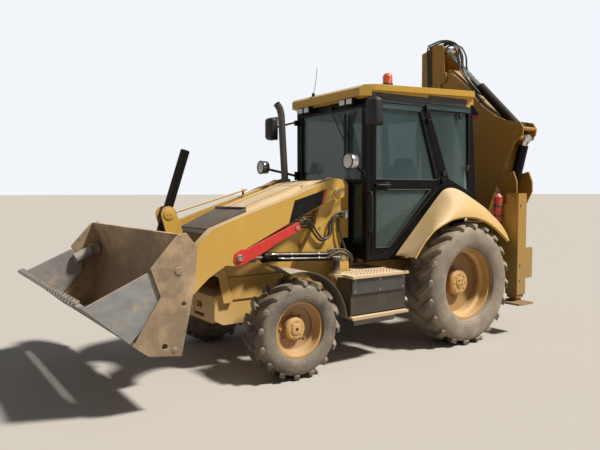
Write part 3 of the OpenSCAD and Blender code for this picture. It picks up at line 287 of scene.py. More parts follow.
@dataclass(frozen=True)
class Dust:
    """How road dust lies on a finish."""

    colour: Colour = srgb(211, 188, 156)
    top: float = 0.66
    side: float = 0.10
    low: float = 0.34
    splash_foot: float = 0.25
    splash_height: float = 1.15

    def mask(self, graph: Graph) -> Socket:
        """More dust on faces that look up, near the ground and in soft patches."""
        up = graph.upward()
        near = 1.0 - graph.axis(graph.place(), 2).band(self.splash_foot, self.splash_height)
        cloud = graph.noise(2.4, 6.0, 0.6)
        grain = graph.noise(52.0, 3.0, 0.6)
        base = up * self.top + near * self.low + self.side
        return (base * (cloud * 1.5 + 0.25) + (grain - 0.5) * 0.14 * (base + 0.25)).clamp()


@dataclass(frozen=True)
class Region:
    """A box in the frame's axes where a painted piece has another colour."""

    colour: Colour
    low: tuple[float, float, float]
    high: tuple[float, float, float]

    def mask(self, graph: Graph) -> Socket:
        """One inside the box, with the left and right sides taken as one."""
        where = graph.place()
        found: Socket | None = None
        for index in range(3):
            value = graph.axis(where, index)
            if index == 1:
                value = value.math("ABSOLUTE", value)
            inside = value.above(self.low[index]) * (1.0 - value.above(self.high[index]))
            found = inside if found is None else found * inside
        return found


@dataclass(frozen=True)
class Paint(Finish):
    """Sprayed paint with chipped edges, faded patches, runs of dirt and dust."""

    colour: Colour
    dust: Dust = Dust()
    gloss: float = 0.30
    chip: Colour = srgb(84, 62, 44)
    chips: float = 0.55
    grime: float = 0.1
    shine: float = 0.5
    regions: tuple[Region, ...] = ()
    corner: float = 0.005
    relief: float = 0.0005

    def paint(self, graph: Graph) -> None:
        """Layer the paint, its wear and the dust."""
        rounded = graph.rounding(self.corner)
        edge = graph.edges(rounded)
        worn = (edge * (graph.noise(16.0, 5.0, 0.7).band(0.44, 0.62)) * self.chips).clamp()
        deep: Any = self.colour
        for region in self.regions:
            deep = graph.mix(region.mask(graph), deep, region.colour)
        if not self.regions:
            deep = graph.mix(graph.noise(1.1, 3.0).band(0.3, 0.75) * 0.6, deep, shaded(self.colour, 0.8))
        streak = graph.noise(8.0, 5.0, 0.6, graph.place((3.0, 3.0, 0.3))).band(0.5, 0.8)
        deep = graph.mix(streak * self.grime, deep, self.dust.colour)
        spots = graph.noise(34.0, 4.0, 0.7).band(0.66, 0.72)
        deep = graph.mix(spots * self.grime, deep, self.chip)
        dirt = self.dust.mask(graph)
        colour = graph.mix(worn, graph.mix(dirt, deep, self.dust.colour), self.chip)
        rough = dirt * 0.55 + self.gloss + worn * 0.2
        height = graph.noise(150.0, 2.0) * 0.25 + dirt * 0.3
        graph.shade(colour, rough.clamp(), 0.0, height, self.relief, rounded, Specular_IOR_Level=self.shine)


@dataclass(frozen=True)
class WornSteel(Finish):
    """Bare bucket steel: brown, scoured along the flow of soil, caked with earth."""

    colour: Colour
    soil: Colour = srgb(176, 146, 108)
    rust: Colour = srgb(116, 78, 50)
    bright: Colour = srgb(178, 172, 160)
    caked: float = 0.5
    rusty: float = 0.35
    corner: float = 0.006
    relief: float = 0.003

    def paint(self, graph: Graph) -> None:
        """Layer steel, rust, scour marks and soil."""
        rounded = graph.rounding(self.corner)
        edge = graph.edges(rounded)
        cloud = graph.noise(2.6, 8.0, 0.62)
        scour = graph.noise(9.0, 6.0, 0.7, graph.place((0.6, 5.0, 1.4)))
        fine = graph.noise(70.0, 4.0, 0.7)
        cake = (cloud + (fine - 0.5) * 0.22).band(0.60 - self.caked * 0.16, 0.74)
        rust = graph.noise(9.0, 6.0, 0.65).band(0.48, 0.72)
        base = graph.mix(scour.band(0.3, 0.75), shaded(self.colour, 0.66), self.colour)
        base = graph.mix(rust * self.rusty, base, self.rust)
        up = graph.upward()
        soil = (cake * 0.7 + up * 0.45 * (cloud + 0.4)).clamp()
        colour = graph.mix(edge * 0.75, graph.mix(soil, base, self.soil), self.bright)
        metal = (1.0 - soil) * 0.25
        height = cake * 0.5 + fine * 0.25 + scour * 0.25
        graph.shade(colour, (soil * 0.3 + 0.55).clamp(), metal, height, self.relief, rounded)


@dataclass(frozen=True)
class Rubber(Finish):
    """Tyre rubber: rings round the axle on the wall, dust everywhere but the lug faces."""

    axle: tuple[float, float]
    tip: float
    rim: float
    coat: float
    colour: Colour = srgb(44, 43, 42)
    dust: Colour = srgb(168, 152, 132)
    rings_per_metre: float = 330.0 / math.tau
    corner: float = 0.010
    relief: float = 0.003

    def paint(self, graph: Graph) -> None:
        """Layer rubber, moulded rings and dust by the distance from the axle."""
        where = graph.place()
        across = graph.axis(where, 0) - self.axle[0]
        up = graph.axis(where, 2) - self.axle[1]
        radius = (across * across + up * up) ** 0.5
        share = radius.band(self.rim, self.tip)
        rounded = graph.rounding(self.corner)
        edge = graph.edges(rounded)
        cloud = graph.noise(4.0, 6.0, 0.6)
        grain = graph.noise(64.0, 4.0, 0.65)
        mud = (cloud * 0.95 + (grain - 0.5) * 0.35).band(0.32, 0.66)
        tread = share.band(0.86, 0.99)
        up = graph.upward(0.2, 0.95)
        dusty = (mud * 0.42 + self.coat - tread * 0.16 + edge * 0.16 + up * 0.3).clamp()
        colour = graph.mix(dusty, self.colour, self.dust)
        rings = (radius * (self.rings_per_metre * math.tau)).sine()
        wall = rings * share.band(0.10, 0.14) * (1.0 - share.band(0.32, 0.36))
        height = wall * 0.6 + grain * 0.3 + mud * 0.2
        graph.shade(colour, dusty * 0.14 + 0.76, 0.0, height, self.relief, rounded)


@dataclass(frozen=True)
class Glazing(Finish):
    """Tinted cab glass with a thin film of dust that thickens towards its foot."""

    tint: Colour = srgb(26, 56, 52)
    film: Colour = srgb(150, 176, 184)
    body: float = 0.56
    bend: float = 1.62
    haze: tuple[float, float] = (1.1, 2.0)

    def paint(self, graph: Graph) -> None:
        """Lay a soft film over clear glass."""
        where = graph.place()
        low = 1.0 - graph.axis(where, 2).band(*self.haze)
        smear = graph.noise(1.6, 4.0, 0.5, graph.place((1.0, 1.0, 0.5))).band(0.35, 0.85)
        film = (smear * 0.15 + low * 0.05 + 0.03).clamp()
        colour = graph.mix(film, self.tint, self.film)
        graph.shade(colour, film * 0.1 + 0.02, alpha=film * 0.35 + self.body, IOR=self.bend, Coat_Weight=1.0,
                    Coat_Roughness=0.02)


@dataclass(frozen=True)
class Bright(Finish):
    """Chromed or plated metal with a thin film of oil and dust."""

    colour: Colour = srgb(205, 205, 203)
    rough: float = 0.14
    film: float = 0.35
    oil: Colour = srgb(150, 136, 116)

    def paint(self, graph: Graph) -> None:
        """Lay a patchy film over polished metal."""
        film = graph.noise(14.0, 5.0).band(0.45, 0.75)
        colour = graph.mix(film * self.film, self.colour, self.oil)
        graph.shade(colour, film * 0.25 + self.rough, 1.0 - film * self.film)


@dataclass(frozen=True)
class Plain(Finish):
    """Moulded plastic, hose rubber, cloth or cast iron with its own grain."""

    colour: Colour
    rough: float = 0.55
    dust: Dust = Dust(top=0.35, side=0.06, low=0.15)
    metal: float = 0.0
    grain: float = 120.0
    depth: float = 0.0006
    corner: float = 0.003

    def paint(self, graph: Graph) -> None:
        """Layer two shades, the grain and dust."""
        rounded = graph.rounding(self.corner)
        dirt = self.dust.mask(graph)
        shade = graph.noise(4.0, 4.0).band(0.3, 0.7)
        base = graph.mix(shade, self.colour, shaded(self.colour, 1.35, 0.002))
        colour = graph.mix(dirt, base, self.dust.colour)
        graph.shade(colour, (dirt * 0.35 + self.rough).clamp(), self.metal, graph.noise(self.grain, 3.0),
                    self.depth, rounded)


@dataclass(frozen=True)
class Lens(Finish):
    """Clear or coloured lamp lens with fluted lines."""

    colour: Colour
    flutes: float = 420.0
    groove: Colour = srgb(120, 122, 124)
    dust: Colour = srgb(190, 176, 150)

    def paint(self, graph: Graph) -> None:
        """Flute the lens and film it with dust."""
        flute = (graph.axis(graph.place(), 1) * self.flutes).sine()
        film = graph.noise(20.0, 3.0).band(0.5, 0.8)
        colour = graph.mix(film * 0.25, graph.mix(flute * 0.3, self.colour, self.groove), self.dust)
        graph.shade(colour, film * 0.2 + 0.08, 0.0, flute, 0.001, Coat_Weight=0.6)


class Finishes:
    """Every finish of the machine, each made once when first asked for."""

    far = 9.0  # past every piece, for a region that has no limit on that side
    sprayed = srgb(188, 145, 40)
    rim_yellow = srgb(178, 134, 62)
    # Painted shade: brown on the rims' inner dishes, where shade falls in the hollow
    dish_shade_brown = srgb(128, 84, 34)
    strap_black = srgb(24, 24, 25)
    roof_band_black = srgb(26, 26, 27)
    thin = Dust(top=0.1, side=0.003, low=0.03)
    clean = Dust(top=0.1, side=0.02, low=0.0)
    rim_dust = Dust(srgb(204, 172, 128), 0.45, 0.16, 0.2)

    yellow = Paint("yellow_paint", sprayed)
    hood = Paint("hood_paint", sprayed, Dust(top=0.7), regions=(
        Region(strap_black, (1.3725, 0.0, 0.85), (1.60, 0.31, 1.172)),))
    nose = Paint("nose_paint", srgb(20, 21, 24), Dust(top=0.13, side=0.03, low=0.0), gloss=0.28,
                 chip=srgb(90, 88, 84), chips=0.4, grime=0.03, shine=0.35)
    # Rims with painted shade in their inner dishes
    rim_rear = Paint("rear_rim_paint", rim_yellow, rim_dust, regions=(
        Region(dish_shade_brown, (-far, 0.30, 0.0), (far, 0.842, 2.0)),))
    rim_front = Paint("front_rim_paint", rim_yellow, rim_dust, regions=(
        Region(dish_shade_brown, (-far, 0.30, 0.0), (far, 0.872, 2.0)),))
    # Painted shade: a darker copy of the yellow paint and of its dust, for the boom, stick, kingpost and links
    rear = Paint("rear_shade_paint", srgb(160, 116, 32), Dust(srgb(170, 146, 108), 0.35, 0.03, 0.1), gloss=0.4, grime=0.22)
    # Painted shade and dirt: a darker copy of the yellow for the legs, side shift and rear frame, with a darker dust
    # that is part painted shade and part mud, heaviest low down
    leg = Paint("leg_paint", srgb(172, 130, 42), Dust(srgb(132, 114, 90), 0.4, 0.14, 0.55), gloss=0.5, grime=0.3)
    # Black on the roof's lower band and underside
    roof = Paint("roof_paint", sprayed, Dust(top=0.75, side=0.06, low=0.0), regions=(
        Region(roof_band_black, (-1.478, 0.0, 2.0), (-0.12, 2.0, 2.668)),
        Region(roof_band_black, (-1.478, 0.0, 2.0), (-0.9, 2.0, 2.695))))
    black = Paint("black_paint", srgb(11, 12, 14), thin, gloss=0.34, chip=srgb(40, 39, 38), chips=0.25,
                  grime=0.01, shine=0.13)
    guard = Paint("guard_plastic", srgb(44, 43, 43), Dust(srgb(190, 176, 156), 0.6, 0.12, 0.22), gloss=0.5,
                  chip=srgb(80, 77, 72), chips=0.3)
    steps = Paint("step_paint", srgb(19, 19, 20), Dust(top=0.85, side=0.015, low=0.06), gloss=0.4, grime=0.05,
                  regions=(Region(srgb(196, 168, 130), (-2.0, 0.0, 0.8395), (2.0, 2.0, 0.868)),
                           Region(srgb(176, 150, 116), (-2.0, 0.0, 0.448), (2.0, 2.0, 0.478)),
                           Region(srgb(44, 45, 49), (-2.0, 0.9055, 0.689), (2.0, 2.0, 0.8392))))
    red = Paint("red_paint", srgb(196, 18, 22), Dust(top=0.3, side=0.04, low=0.05), gloss=0.28, grime=0.06)
    pump_red = Paint("extinguisher_red", srgb(176, 24, 28), Dust(top=0.3, side=0.06, low=0.1), regions=(
        Region(strap_black, (-far, 0.0, 1.3595), (far, 2.0, 1.3845)),
        Region(strap_black, (-far, 0.0, 1.4795), (far, 2.0, 1.5045)),
        Region(strap_black, (-far, 0.0, 1.6395), (far, 2.0, 1.8))))
    blade = WornSteel("blade_steel", srgb(146, 127, 103), srgb(214, 180, 138), caked=0.9)
    jaw = WornSteel("jaw_steel", srgb(146, 146, 144), srgb(200, 166, 126), caked=0.45, rusty=0.12)
    iron = Plain("cast_iron", srgb(62, 60, 58), 0.6, metal=0.3)
    stack = Plain("stack_iron", srgb(70, 66, 62), 0.5, thin, metal=0.4)
    chrome = Bright("chrome")
    zinc = Bright("zinc_pipe", srgb(176, 172, 164), 0.26, 0.5)
    hose = Plain("hose_rubber", srgb(24, 24, 25), 0.4, Dust(top=0.2, side=0.04, low=0.05))
    cabin = Plain("cabin_plastic", srgb(40, 40, 42), 0.6, clean)
    cloth = Plain("seat_cloth", srgb(46, 48, 54), 0.85, clean, grain=420.0, depth=0.0015)
    decal = Paint("black_film", srgb(10, 10, 11), Dust(top=0.1, side=0.0, low=0.0), chip=srgb(40, 40, 40), chips=0.2,
                  grime=0.01, shine=0.25)
    seal = Plain("seal_rubber", srgb(14, 14, 14), 0.6, Dust(top=0.04, side=0.0, low=0.0))
    vent = Plain("vent_black", srgb(30, 29, 28), 0.5, Dust(top=0.35, side=0.1, low=0.0))
    glass = Glazing("tinted_glass")
    pane = Glazing("framed_glass", body=0.82)
    lens = Lens("clear_lens", srgb(226, 228, 228))
    amber = Lens("amber_lens", srgb(240, 92, 20))
    tail = Lens("red_lens", srgb(190, 20, 20))
    mirror = Bright("mirror_glass", srgb(190, 198, 206), 0.04, 0.1)

    def __init__(self) -> None:
        """Start with nothing built."""
        self._made: dict[str, bpy.types.Material] = {}

    def get(self, finish: Finish) -> bpy.types.Material:
        """The material of a finish."""
        if finish.name not in self._made:
            self._made[finish.name] = finish.material()
        return self._made[finish.name]


FINISHES = Finishes()


@dataclass(frozen=True)
class Bend:
    """How a hose crosses a joint: the second body, and the points where the bend starts and ends."""

    body: Body
    start: Point
    end: Point


# Height difference under which an edge counts as level (m)
LEVEL = 1e-6
# Power that rounds a pad's corners: 2 would give a ball, a high number a box
ROUNDNESS = 8


class Shape:
    """A mesh in the making, shaped with bmesh operators."""

    def __init__(self) -> None:
        """Start with an empty mesh."""
        self.mesh = bmesh.new()

    def round_off(self, edges: list[bmesh.types.BMEdge], offset: float,
                  segments: int = 2) -> list[bmesh.types.BMVert]:
        """Bevel edges and return the vertices of the bevel."""
        return bmesh.ops.bevel(self.mesh, geom=edges, offset=offset, offset_type="OFFSET", segments=segments,
                               profile=0.5, affect="EDGES", material=-1)["verts"]

    def lay(self, verts: Sequence[bmesh.types.BMVert], place: Point, turn: Matrix | None = None) -> None:
        """Turn vertices about the origin, then move them to their place."""
        if turn is not None:
            bmesh.ops.rotate(self.mesh, verts=verts, cent=(0, 0, 0), matrix=turn)
        bmesh.ops.translate(self.mesh, vec=place, verts=verts)

    def block(self, low: Point, high: Point, bevel: float = 0.0, segments: int = 2,
              turn: Matrix | None = None) -> "Shape":
        """Add a box between two corners, with rounded edges, turned about its middle."""
        made = bmesh.ops.create_cube(self.mesh, size=1.0)["verts"]
        bmesh.ops.scale(self.mesh, vec=[b - a for a, b in zip(low, high)], verts=made)
        if bevel > 0:
            made = self.round_off(edges_of(made), bevel, segments)
        self.lay(made, middle(low, high), turn)
        return self

    def rod(self, start: Point, end: Point, radius: float, far: float | None = None, sides: int = 32,
            bevel: float = 0.0) -> "Shape":
        """Add a round bar between two points, or a cone where the far end has its own radius."""
        p, q = Vector(start), Vector(end)
        made = bmesh.ops.create_cone(self.mesh, cap_ends=True, segments=sides, radius1=radius,
                                     radius2=radius if far is None else far, depth=(q - p).length)["verts"]
        if bevel > 0:
            rims = [e for e in edges_of(made) if abs(e.verts[0].co.z - e.verts[1].co.z) < LEVEL]
            made = list(dict.fromkeys(self.round_off(rims, bevel) + [v for v in made if v.is_valid]))
        self.lay(made, (p + q) / 2, (q - p).to_track_quat("Z", "Y").to_matrix())
        return self

    def pin(self, x: float, z: float, start: float, end: float, radius: float, **shape: Any) -> "Shape":
        """Add a round bar that lies across the machine, between two distances from its middle."""
        return self.rod(at(x, start, z), at(x, end, z), radius, **shape)

    def bolt(self, x: float, z: float, start: float, end: float, radius: float) -> "Shape":
        """Add a six-sided bolt head that lies across the machine."""
        return self.pin(x, z, start, end, radius, sides=6, bevel=0.001)

    def plate(self, outline: Sequence[Point], depth: Point, bevel: float = 0.0) -> "Shape":
        """Add a flat plate: an outline of points pushed along a vector."""
        corners = [self.mesh.verts.new(p) for p in outline]
        face = self.mesh.faces.new(corners)
        side = bmesh.ops.extrude_face_region(self.mesh, geom=[face])["geom"]
        moved = [g for g in side if isinstance(g, bmesh.types.BMVert)]
        self.lay(moved, depth)
        verts = corners + moved
        bmesh.ops.recalc_face_normals(self.mesh, faces=list(dict.fromkeys(f for v in verts for f in v.link_faces)))
        if bevel > 0:
            self.round_off(edges_of(verts), bevel)
        return self

    def ring(self, centre: Point, axis: Point, radius: float, thick: float, sides: int = 40,
             section: int = 10) -> "Shape":
        """Add a round ring of round section, spun about its axis."""
        normal = Vector(axis).normalized()
        out = normal.orthogonal().normalized()
        hub = Vector(centre)
        loop = bmesh.ops.create_circle(self.mesh, cap_ends=False, segments=section, radius=thick)["verts"]
        self.lay(loop, hub + out * radius, Matrix((out, normal, out.cross(normal))).transposed())
        bmesh.ops.spin(self.mesh, geom=loop + edges_of(loop), cent=hub, axis=normal, angle=math.tau, steps=sides,
                       use_merge=True)
        return self

    def hose(self, points: Sequence[Point], radius: float, sides: int = 12) -> "Shape":
        """Add a round hose along a smooth line through the points."""
        line = smooth_line([Vector(p) for p in points])
        before: list[bmesh.types.BMVert] = []
        up = (line[1] - line[0]).orthogonal()
        for i, point in enumerate(line):
            run = (line[min(i + 1, len(line) - 1)] - line[max(i - 1, 0)]).normalized()
            up = (up - run * up.dot(run)).normalized()
            loop = bmesh.ops.create_circle(self.mesh, cap_ends=False, segments=sides, radius=radius)["verts"]
            self.lay(loop, point, Matrix((up, run.cross(up), run)).transposed())
            if before:
                rims = [e for e in edges_of(before + loop) if set(e.verts) <= set(loop) or set(e.verts) <= set(before)]
                bmesh.ops.bridge_loops(self.mesh, edges=rims)
            else:
                self.mesh.faces.new(loop[::-1])
            before = loop
        self.mesh.faces.new(before)
        return self

    def cushion(self, low: Point, high: Point, crown: float, lean: float = 0.0, cuts: int = 9) -> "Shape":
        """Add a crowned pad between two corners, pulled in at its corners, leaning about Y in degrees."""
        count = len(self.mesh.verts)
        made = bmesh.ops.create_cube(self.mesh, size=2.0)["verts"]
        bmesh.ops.subdivide_edges(self.mesh, edges=edges_of(made), cuts=cuts, use_grid_fill=True)
        made = list(self.mesh.verts)[count:]
        half = Vector([(b - a) / 2 for a, b in zip(low, high)])
        for vert in made:
            a, b, c = vert.co
            pull = sum(abs(share) ** ROUNDNESS for share in (a, b, c)) ** (1 / ROUNDNESS)
            rise = crown * (1 - a * a) * (1 - b * b)
            vert.co = Vector((half.x * a / pull, half.y * b / pull, half.z * c / pull + (rise if c > 0 else 0.0)))
        self.lay(made, middle(low, high), Matrix.Rotation(math.radians(lean), 3, "Y"))
        return self

    def flip(self, side: "Side") -> "Shape":
        """Move everything to the machine's other side if that is the side wanted."""
        if side.value < 0:
            bmesh.ops.scale(self.mesh, vec=(1, -1, 1), verts=self.mesh.verts)
            bmesh.ops.reverse_faces(self.mesh, faces=self.mesh.faces)
        return self

    def mirror(self) -> "Shape":
        """Add a copy of everything on the machine's other side."""
        whole = self.mesh.verts[:] + self.mesh.edges[:] + self.mesh.faces[:]
        copy = bmesh.ops.duplicate(self.mesh, geom=whole)["geom"]
        bmesh.ops.scale(self.mesh, vec=(1, -1, 1), verts=[g for g in copy if isinstance(g, bmesh.types.BMVert)])
        bmesh.ops.reverse_faces(self.mesh, faces=[g for g in copy if isinstance(g, bmesh.types.BMFace)])
        return self

    def sheet(self, rows: Sequence[Sequence[Vector]], thick: float) -> "Shape":
        """Add a curved sheet through rows of points, thickened to one side."""
        grid = [[self.mesh.verts.new(point) for point in row] for row in rows]
        faces = [self.mesh.faces.new((a[i], a[i + 1], b[i + 1], b[i])) for a, b in zip(grid, grid[1:])
                 for i in range(len(a) - 1)]
        bmesh.ops.recalc_face_normals(self.mesh, faces=faces)
        bmesh.ops.solidify(self.mesh, geom=faces, thickness=thick)
        return self

    def nuts(self, centre: Point, axis: Point, circle: float, count: int, size: float, height: float,
             sides: int = 6) -> "Shape":
        """Add a circle of nuts, or of bolt heads, about an axis."""
        normal = Vector(axis).normalized()
        out = normal.orthogonal().normalized()
        for index in range(count):
            place = Vector(centre) + Matrix.Rotation(math.tau * index / count, 3, normal) @ out * circle
            self.rod(place, place + normal * height, size, sides=sides, bevel=size * 0.12)
        return self

    def finish(self, name: str, body: Body, finish: Finish, smooth: float = 35.0, slot: str | None = None,
               mirror: bool = False, bend: Bend | None = None) -> bpy.types.Object:
        """Turn the mesh into a piece that rides on a body, or that is baked in place when a bend is given.

        Args:
            name: the piece's name.
            body: the body that carries it.
            finish: its finish.
            smooth: largest angle in degrees between faces that shade as one curve.
            slot: not used.
            mirror: also add the copy on the machine's other side.
            bend: the second body of a hose that crosses a joint, and where it bends; when given, the piece is baked in
                place and rides on no body.

        Returns:
            The piece.
        """
        if mirror:
            self.mirror()
        data = bpy.data.meshes.new(name)
        self.mesh.to_mesh(data)
        self.mesh.free()
        piece = bpy.data.objects.new(name, data)
        bpy.context.scene.collection.objects.link(piece)
        data.materials.append(FINISHES.get(finish))
        data.shade_smooth()
        data.set_sharp_from_angle(angle=math.radians(smooth))
        if bend:
            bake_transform(piece)
        else:
            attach(piece, body.value)
        LOG.info("built %s on %s", name, body.value)
        return piece


def edges_of(verts: Sequence[bmesh.types.BMVert]) -> list[bmesh.types.BMEdge]:
    """Edges at the vertices, each once and always in the same order."""
    return list(dict.fromkeys(e for v in verts for e in v.link_edges))


def smooth_line(points: list[Vector], step: int = 6) -> list[Vector]:
    """Points of a smooth line that passes through the given ones."""
    ends = [points[0] * 2 - points[1], *points, points[-1] * 2 - points[-2]]
    line = []
    for a, b, c, d in zip(ends, ends[1:], ends[2:], ends[3:]):
        for i in range(step):
            t = i / step
            line.append(0.5 * ((2 * b) + (c - a) * t + (2 * a - 5 * b + 4 * c - d) * t * t
                               + (3 * b - a - 3 * c + d) * t * t * t))
    line.append(points[-1])
    return line


class Side(Enum):
    """The machine's two sides."""

    LEFT = 1
    RIGHT = -1


@dataclass
class Framework:
    """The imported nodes: each keeps its shape and gets its finish."""

    rear_axle: tuple[float, float] = (-REAR_AXLE_TO_MIDDLE, REAR_AXLE_Z)
    front_axle: tuple[float, float] = (WHEELBASE - REAR_AXLE_TO_MIDDLE, FRONT_AXLE_Z)
    smooth_angle: float = 32.0
    weld_gap: float = 0.00002
    finishes: dict[str, list[str]] = field(default_factory=lambda: {
        "black": ["cab_frame", "door_left", "door_right", "lift_barrels", "tilt_barrel", "boom_barrel",
                  "stick_barrel", "dig_barrel", "swing_cylinders", "mirrors", "lamps"],
        "guard": ["front_fender_left", "front_fender_right"], "steps": ["steps"], "roof": ["cab_roof"],
        # The rear finish is a darker copy of the yellow with painted shade; the leg finish has painted shade and dirt
        "hood": ["hood"], "rear": ["kingpost", "boom", "stick", "stick_slide", "dig_rocker", "dig_link"],
        "leg": ["rear_frame", "side_shift", "stabiliser_left", "stabiliser_right"],
        "chrome": ["lift_rods", "tilt_rod", "boom_rod", "stick_rod", "dig_rod"],
        "iron": ["engine"], "stack": ["exhaust_stack"], "red": ["arm_lock"], "pump_red": ["extinguisher"],
        "glass": ["cab_glass", "door_glass_left", "door_glass_right"],
        "rim_front": ["rim_front_left", "rim_front_right"], "rim_rear": ["rim_rear_left", "rim_rear_right"],
        "blade": ["bucket_blade", "dig_bucket"], "jaw": ["bucket_jaw"], "cabin": ["cab_interior"],
        "hose": ["boom_pipes", "stick_pipes"],
    })

    def dress(self) -> None:
        """Give every node its finish and smooth shading on its curves."""
        chosen = {node: getattr(Finishes, key) for key, nodes in self.finishes.items() for node in nodes}
        wheels = {
            "tyre_rear": Rubber("rear_tyre_rubber", self.rear_axle, tip=REAR_AXLE_Z, rim=0.388, coat=0.36),
            "tyre_front": Rubber("front_tyre_rubber", self.front_axle, tip=FRONT_AXLE_Z, rim=0.253, coat=0.16),
        }
        for name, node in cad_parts.items():
            finish = next((f for key, f in wheels.items() if name.startswith(key)), chosen.get(name, Finishes.yellow))
            node.data.materials.clear()
            node.data.materials.append(FINISHES.get(finish))
            self.smooth(node)
            LOG.info("dressed %s with %s", name, finish.name)

    def smooth(self, node: bpy.types.Object) -> None:
        """Weld the node's loose triangles and split only its sharp edges, as modifiers."""
        weld = node.modifiers.new("weld", "WELD")
        weld.merge_threshold = self.weld_gap
        split = node.modifiers.new("split", "EDGE_SPLIT")
        split.split_angle = math.radians(self.smooth_angle)
        split.use_edge_sharp = False
        node.data.shade_smooth()


@dataclass
class HoodTrim:
    """Black nose panel, cooler sides, seams and side grilles of the hood."""

    ridge: tuple[tuple[float, float], ...] = ((1.175, 1.808), (1.60, 1.768), (2.35, 1.500), (2.77, 1.306))
    back: float = 2.372
    front: float = 2.768
    flat: float = 0.283
    edge: float = 0.367
    wall: float = 0.350
    nose_rise: tuple[float, float] = (0.003, 0.015)
    nose_fall: float = 0.060
    brow: tuple[tuple[float, float], tuple[float, float]] = ((2.779, 1.317), (2.806, 1.284))
    face_x: float = 2.801
    face_z: tuple[float, float, float] = (1.286, 1.21, 1.165)
    cooler_side: tuple[tuple[float, float], ...] = ((1.95, 0.66), (2.64, 0.66), (2.66, 0.872), (1.95, 0.872))
    cross_seam: tuple[float, float] = (1.72, 0.327)
    seam_y: float = 0.16
    seam_spans: tuple[tuple[float, float], ...] = ((1.20, 1.59), (1.61, 2.34))
    grille_y: tuple[float, float] = (0.3625, 0.3665)
    grilles: tuple[tuple[int, float, float, float, float, float], ...] = (
        (9, 2.30, 2.62, 1.00, 0.028, 0.014), (7, 1.55, 1.95, 1.30, 0.03, 0.015))

    def top(self, x: float) -> float:
        """Height of the hood's top at a place along the machine."""
        for (x0, z0), (x1, z1) in zip(self.ridge, self.ridge[1:]):
            if x <= x1:
                return z0 + (z1 - z0) * (x - x0) / (x1 - x0)
        return self.ridge[-1][1]

    def build(self) -> None:
        """Build the panel, the cooler's sides, the seams and the slats."""
        self.nose()
        self.cooler()
        self.seams()
        self.slats()

    def nose(self) -> None:
        """Panel over the nose with turned-down sides and front, and the lip behind it."""
        back, front, flat, edge, wall = self.back, self.front, self.flat, self.edge, self.wall
        low, high = self.nose_rise
        nose = Shape()
        top = [at(x, y, self.top(x) + low) for x, y in ((back, -flat), (front, -flat), (front, flat), (back, flat))]
        nose.plate(top, (0.005, 0, 0.014), 0.002)
        for s in (-1, 1):
            nose.plate([at(back, flat * s, self.top(back) + high), at(front, flat * s, self.top(front) + high),
                        at(front, edge * s, self.top(front) - self.nose_fall),
                        at(back, edge * s, self.top(back) - self.nose_fall)], (0, -0.005 * s, -0.006))
        (x0, z0), (x1, z1) = self.brow
        nose.plate([at(x0, -flat, z0), at(x0, flat, z0), at(x1, flat, z1), at(x1, -flat, z1)], (-0.006, 0, -0.004))
        brow, cheek, chin = self.face_z
        face = [(-flat, brow), (flat, brow), (wall, cheek), (wall, chin), (-wall, chin), (-wall, cheek)]
        nose.plate([at(self.face_x, y, z) for y, z in face], (0.006, 0, 0))
        nose.finish("nose_cover", Body.HOOD, Finishes.nose, slot="black_paint")
        lip = Shape()
        z = self.top(back)
        lip.block(at(back - 0.012, -flat, z + 0.006), at(back + 0.030, flat, z + 0.026), 0.004)
        lip.finish("nose_lip", Body.HOOD, Finishes.nose, slot="black_paint")

    def cooler(self) -> None:
        """Plates beside the cooler, under the hood's front."""
        shroud = Shape()
        for s in (-1, 1):
            shroud.plate([at(x, self.wall * s, z) for x, z in self.cooler_side], (0, -0.006 * s, 0))
        shroud.finish("cooler_sides", Body.CHASSIS, Finishes.yellow, slot="yellow_paint")

    def seams(self) -> None:
        """Seam across the hood and the two pairs of seams along it."""
        seams = Shape()
        x, half = self.cross_seam
        seams.block(at(x - 0.003, -half, self.top(x) - 0.002), at(x + 0.003, half, self.top(x) + 0.0012))
        for side in Side:
            y = self.seam_y * side.value
            for x0, x1 in self.seam_spans:
                seams.rod(at(x0, y, self.top(x0) + 0.0006), at(x1, y, self.top(x1) + 0.0006), 0.0026, sides=8)
        seams.finish("hood_seams", Body.HOOD, Finishes.seal, slot="black_paint")

    def slats(self) -> None:
        """Slats of the front and rear grille on each side."""
        grille = Shape()
        inner, outer = self.grille_y
        for count, back, front, foot, pitch, height in self.grilles:
            for index in range(count):
                z = foot + pitch * index
                grille.block(at(back, inner, z), at(front, outer, z + height), 0.0015)
        grille.finish("side_grilles", Body.HOOD, Finishes.vent, slot="black_paint", mirror=True)


